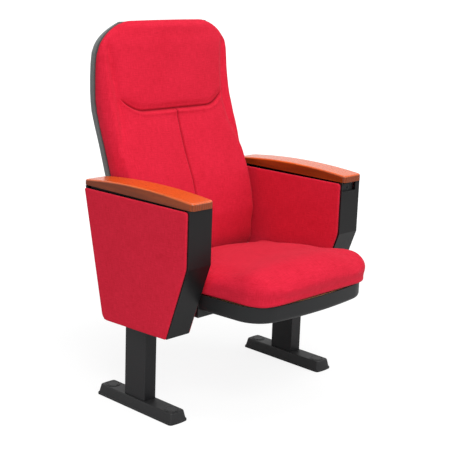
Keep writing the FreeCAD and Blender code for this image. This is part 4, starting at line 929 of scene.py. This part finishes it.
# Foam presses the cover out between its seams, which hold it.
points, facing = points_of(back_mesh), normals_of(back_mesh)
front = facing[:, 1] < -0.2
held = np.where(facing[:, 1] > 0.3, 1.0, 0.0)
for off, reach in (off_cross(points), off_middle(points)):
    held = np.maximum(held, np.where(front & (np.abs(off) < 5 * MM), reach, 0))
off, reach = off_turn(points)
held = np.maximum(held, np.where(np.abs(off) < 5 * MM, reach * 0.7, 0))
room = np.where(points[:, 2] < 610 * MM, 8 * MM, 10 * MM)
room = np.where(np.abs(points[:, 0]) > BESIDE, 3 * MM, room)
room = np.where(points[:, 2] < 450 * MM, 3.5 * MM, room)
back_mesh = swollen(back_mesh, held, room)
softened(back_mesh, 3)
points, facing = points_of(back_mesh), normals_of(back_mesh)
off, reach = off_turn(points)
hollow = pressed(off, *HOLLOW) * reach
move_to(back_mesh, points - facing * (hollow * (facing[:, 1] < 0.3))[:, None])
softened(back_mesh, 2)
back_mesh = finer(back_mesh)

# The sewn lines need a finer mesh than the rest.
shape = bmesh.new()
shape.from_mesh(back_mesh)
places = np.array([corner.co for corner in shape.verts])
cross, cross_reach = off_cross(places)
middle, middle_reach = off_middle(places)
near = np.minimum(
    np.where(cross_reach > 0, np.abs(cross), 1), np.where(middle_reach > 0, middle, 1)
)
near = near < 13 * MM
fine = [
    edge
    for edge in shape.edges
    if near[edge.verts[0].index] and near[edge.verts[1].index] and edge.verts[0].normal.y < -0.1
]
bmesh.ops.subdivide_edges(shape, edges=fine, cuts=1, use_grid_fill=True)
shape.to_mesh(back_mesh)
shape.free()

# Each seam is a narrow groove. Above the cross seam the head pad swells over it, and below it the
# turned edge of the lower panels stands up as a lip.
points, facing = points_of(back_mesh), normals_of(back_mesh)
front = ramp(-facing[:, 1], 0.1, 0.5)
cross, cross_reach = off_cross(points)
middle, middle_reach = off_middle(points)
groove, slope, lip = (pressed(cross, *form) * cross_reach for form in (GROOVE, SLOPE, LIP))
channel, rim = (pressed(middle, *form) * middle_reach for form in (CHANNEL, RIM))
points[:, 1] += (np.maximum(groove, channel) + slope - lip - rim) * front
move_to(back_mesh, points)
softened(back_mesh, 1, 0.25)
# Share of painted shade at each point, dark in the fold where two panels meet and hardly any light
# reaches.
painted_fold_shade = np.maximum(
    pressed(cross, 1.0, 2.2 * MM, 0.0) * cross_reach,
    pressed(middle, 1.0, 1.9 * MM, 0.0) * middle_reach,
)
back_mesh.attributes.new("painted_fold_shade", "FLOAT", "POINT").data.foreach_set("value", painted_fold_shade * front)
lay_cloth(back_mesh)
back_cover = piece("back_cover", back_mesh, upholstery, "standards")
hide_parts("back_cushion")


# ---------------------------------------------------------------------------------------------
# Top stitching: bonded polyester thread in the cloth's red, sewn on the lip under the cross seam
# and on both sides of the middle one. The thread is drawn thicker than the real 0.4 mm, so that it
# shows close up.
PITCH, STITCH, THICK = 5 * MM, 3.8 * MM, 0.9 * MM
UNDER_SEAM, BESIDE_SEAM = 6 * MM, 5.5 * MM  # how far the rows stand off the two seams
thread, tree, shader = finish_of(
    "polyester_thread", {"Roughness": 0.5, "IOR": 1.5, "Specular IOR Level": 0.35}
)
place = add(tree, "ShaderNodeTexCoord").outputs["Object"]
twist = add(
    tree, "ShaderNodeTexWave", {"Vector": place, "Scale": 400.0, "Distortion": 2.0},
    bands_direction="DIAGONAL",
).outputs["Fac"]
tone = add(
    tree, "ShaderNodeMix", {0: twist, 6: paint("#A80E20"), 7: paint("#E0344C")}, data_type="RGBA"
)
tree.links.new(tone.outputs[2], shader.inputs["Base Color"])
bump = add(tree, "ShaderNodeBump", {"Height": twist, "Strength": 0.4, "Distance": 0.1 * MM})
tree.links.new(bump.outputs[0], shader.inputs["Normal"])

stitching = bpy.data.node_groups.new("stitching", "GeometryNodeTree")
face = stitching.interface
face.new_socket("Seam", in_out="INPUT", socket_type="NodeSocketGeometry")
for label in ("Pitch", "Stitch length", "Thread"):
    face.new_socket(label, in_out="INPUT", socket_type="NodeSocketFloat")
face.new_socket("Stitches", in_out="OUTPUT", socket_type="NodeSocketGeometry")
given = add(stitching, "NodeGroupInput")
line = add(stitching, "GeometryNodeMeshToCurve", {"Mesh": given.outputs["Seam"]})
spots = add(
    stitching, "GeometryNodeResampleCurve",
    {"Curve": line.outputs[0], "Length": given.outputs["Pitch"]}, mode="LENGTH",
)
half_long = add(
    stitching, "ShaderNodeMath", {0: given.outputs["Stitch length"], 1: 0.5}, operation="MULTIPLY"
)
half_thick = add(
    stitching, "ShaderNodeMath", {0: given.outputs["Thread"], 1: 0.5}, operation="MULTIPLY"
)
shape_of = add(
    stitching, "ShaderNodeCombineXYZ",
    {"X": half_thick.outputs[0], "Y": half_thick.outputs[0], "Z": half_long.outputs[0]},
)
along = add(stitching, "GeometryNodeInputTangent")
turned = add(
    stitching, "FunctionNodeAlignRotationToVector", {"Vector": along.outputs[0]}, axis="Z"
)
bead = add(stitching, "GeometryNodeMeshUVSphere", {"Segments": 7, "Rings": 5, "Radius": 1.0})
stitches = add(
    stitching, "GeometryNodeInstanceOnPoints",
    {
        "Points": spots.outputs[0],
        "Instance": bead.outputs["Mesh"],
        "Rotation": turned.outputs[0],
        "Scale": shape_of.outputs[0],
    },
)
real = add(stitching, "GeometryNodeRealizeInstances", {0: stitches.outputs[0]})
dyed = add(stitching, "GeometryNodeSetMaterial", {"Geometry": real.outputs[0], "Material": thread})
add(stitching, "NodeGroupOutput", {"Stitches": dyed.outputs[0]})


def grown(name, tree, mesh, sizes):
    """Plain mesh that a tree of nodes makes from a mesh of lines or points."""
    holder = bpy.data.objects.new(name, mesh)
    scene.collection.objects.link(holder)
    change = holder.modifiers.new("grow", "NODES")
    change.node_group = tree
    for socket in tree.interface.items_tree:
        if socket.in_out == "INPUT" and socket.name in sizes:
            change[socket.identifier] = sizes[socket.name]
    return baked(holder)


shape = bmesh.new()
shape.from_mesh(back_mesh)
cover = BVHTree.FromBMesh(shape)
shape.free()
# rows of places in X and Z, 4 mm apart
LINES = [
    [(x * 4 * MM, seam_height(x * 4 * MM) - UNDER_SEAM) for x in range(-43, 44)],
    [(-BESIDE_SEAM, z * 4 * MM) for z in range(104, 191)],
    [(BESIDE_SEAM, z * 4 * MM) for z in range(104, 191)],
]
spots, steps = [], []
for line in LINES:
    for number, (x, z) in enumerate(line):
        hit = cover.ray_cast(Vector((x, -1, z)), Vector((0, 1, 0)))[0]
        if number:
            steps.append((len(spots) - 1, len(spots)))
        spots.append((x, hit.y + 0.05 * MM, z))
seam_lines = bpy.data.meshes.new("seam_lines")
seam_lines.from_pydata(spots, steps, [])
sewn = grown(
    "seam_lines", stitching, seam_lines, {"Pitch": PITCH, "Stitch length": STITCH, "Thread": THICK}
)
piece("back_stitches", sewn, thread, "standards")


# ---------------------------------------------------------------------------------------------
# Band and shell screws: zinc plated button heads with a round recess, three in each rear band
# and eight round the rear of the shell, driven into the arm boxes and the back board.
HEAD_RADIUS = 4.2 * MM
BAND_SCREWS = (262 * MM, 336 * MM, 410 * MM)  # heights in each band
SHELL_SCREWS = (400 * MM, 590 * MM, 760 * MM, 900 * MM)  # heights on each side of the shell
SHELL_HALF = 205 * MM  # distance of the shell's screws from the middle
screwing = bpy.data.node_groups.new("screwing", "GeometryNodeTree")
face = screwing.interface
face.new_socket("Places", in_out="INPUT", socket_type="NodeSocketGeometry")
face.new_socket("Head radius", in_out="INPUT", socket_type="NodeSocketFloat")
face.new_socket("Screws", in_out="OUTPUT", socket_type="NodeSocketGeometry")
given = add(screwing, "NodeGroupInput")
disc = add(screwing, "GeometryNodeMeshCircle", {"Vertices": 18, "Radius": 1.0}, fill_type="NGON")
head, top = disc.outputs[0], None
# Rise and width of each step of the head, as shares of its radius, the last one the recess.
for rise, width in ((0.12, 1.0), (0.2, 0.9), (0.1, 0.72), (0.0, 0.62), (-0.3, 1.0)):
    inputs = {"Mesh": head, "Offset Scale": rise}
    if top is not None:
        inputs["Selection"] = top
    pulled = add(screwing, "GeometryNodeExtrudeMesh", inputs)
    top = pulled.outputs["Top"]
    drawn = add(
        screwing, "GeometryNodeScaleElements",
        {"Geometry": pulled.outputs["Mesh"], "Selection": top, "Scale": width},
    )
    head = drawn.outputs[0]
outward = add(
    screwing, "GeometryNodeInputNamedAttribute", {"Name": "outward"}, data_type="FLOAT_VECTOR"
)
turned = add(
    screwing, "FunctionNodeAlignRotationToVector", {"Vector": outward.outputs[0]}, axis="Z"
)
screws = add(
    screwing, "GeometryNodeInstanceOnPoints",
    {
        "Points": given.outputs["Places"],
        "Instance": head,
        "Rotation": turned.outputs[0],
        "Scale": given.outputs["Head radius"],
    },
)
real = add(screwing, "GeometryNodeRealizeInstances", {0: screws.outputs[0]})
plated = add(
    screwing, "GeometryNodeSetMaterial", {"Geometry": real.outputs[0], "Material": plating}
)
add(screwing, "NodeGroupOutput", {"Screws": plated.outputs[0]})

# The rear bands lean back from their lower end.
REAR_LEAN, BAND_Y, BAND_Z = math.radians(13), 114 * MM, 231 * MM
spots = []
for x in (-ARM_CENTRE, ARM_CENTRE):
    for z in BAND_SCREWS:
        y = BAND_Y + (z - BAND_Z) * math.tan(REAR_LEAN)
        spots.append(((x, y, z), (0, math.cos(REAR_LEAN), -math.sin(REAR_LEAN))))
shape = bmesh.new()
shape.from_mesh(nodes["back_shell"].data)
shell = BVHTree.FromBMesh(shape)
shape.free()
for x in (-SHELL_HALF, SHELL_HALF):
    for z in SHELL_SCREWS:
        hit, normal, _, _ = shell.ray_cast(Vector((x, 1, z)), Vector((0, -1, 0)))
        spots.append((tuple(hit), tuple(normal)))
screw_places = bpy.data.meshes.new("screw_places")
screw_places.from_pydata([spot for spot, normal in spots], [], [])
outwards = screw_places.attributes.new("outward", "FLOAT_VECTOR", "POINT")
outwards.data.foreach_set("vector", [part for spot, normal in spots for part in normal])
heads = grown("screw_places", screwing, screw_places, {"Head radius": HEAD_RADIUS})
piece("band_screws", heads, plating, "standards")


# ---------------------------------------------------------------------------------------------
# Bounds of the shown pieces, with the floor left out.
low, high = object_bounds()
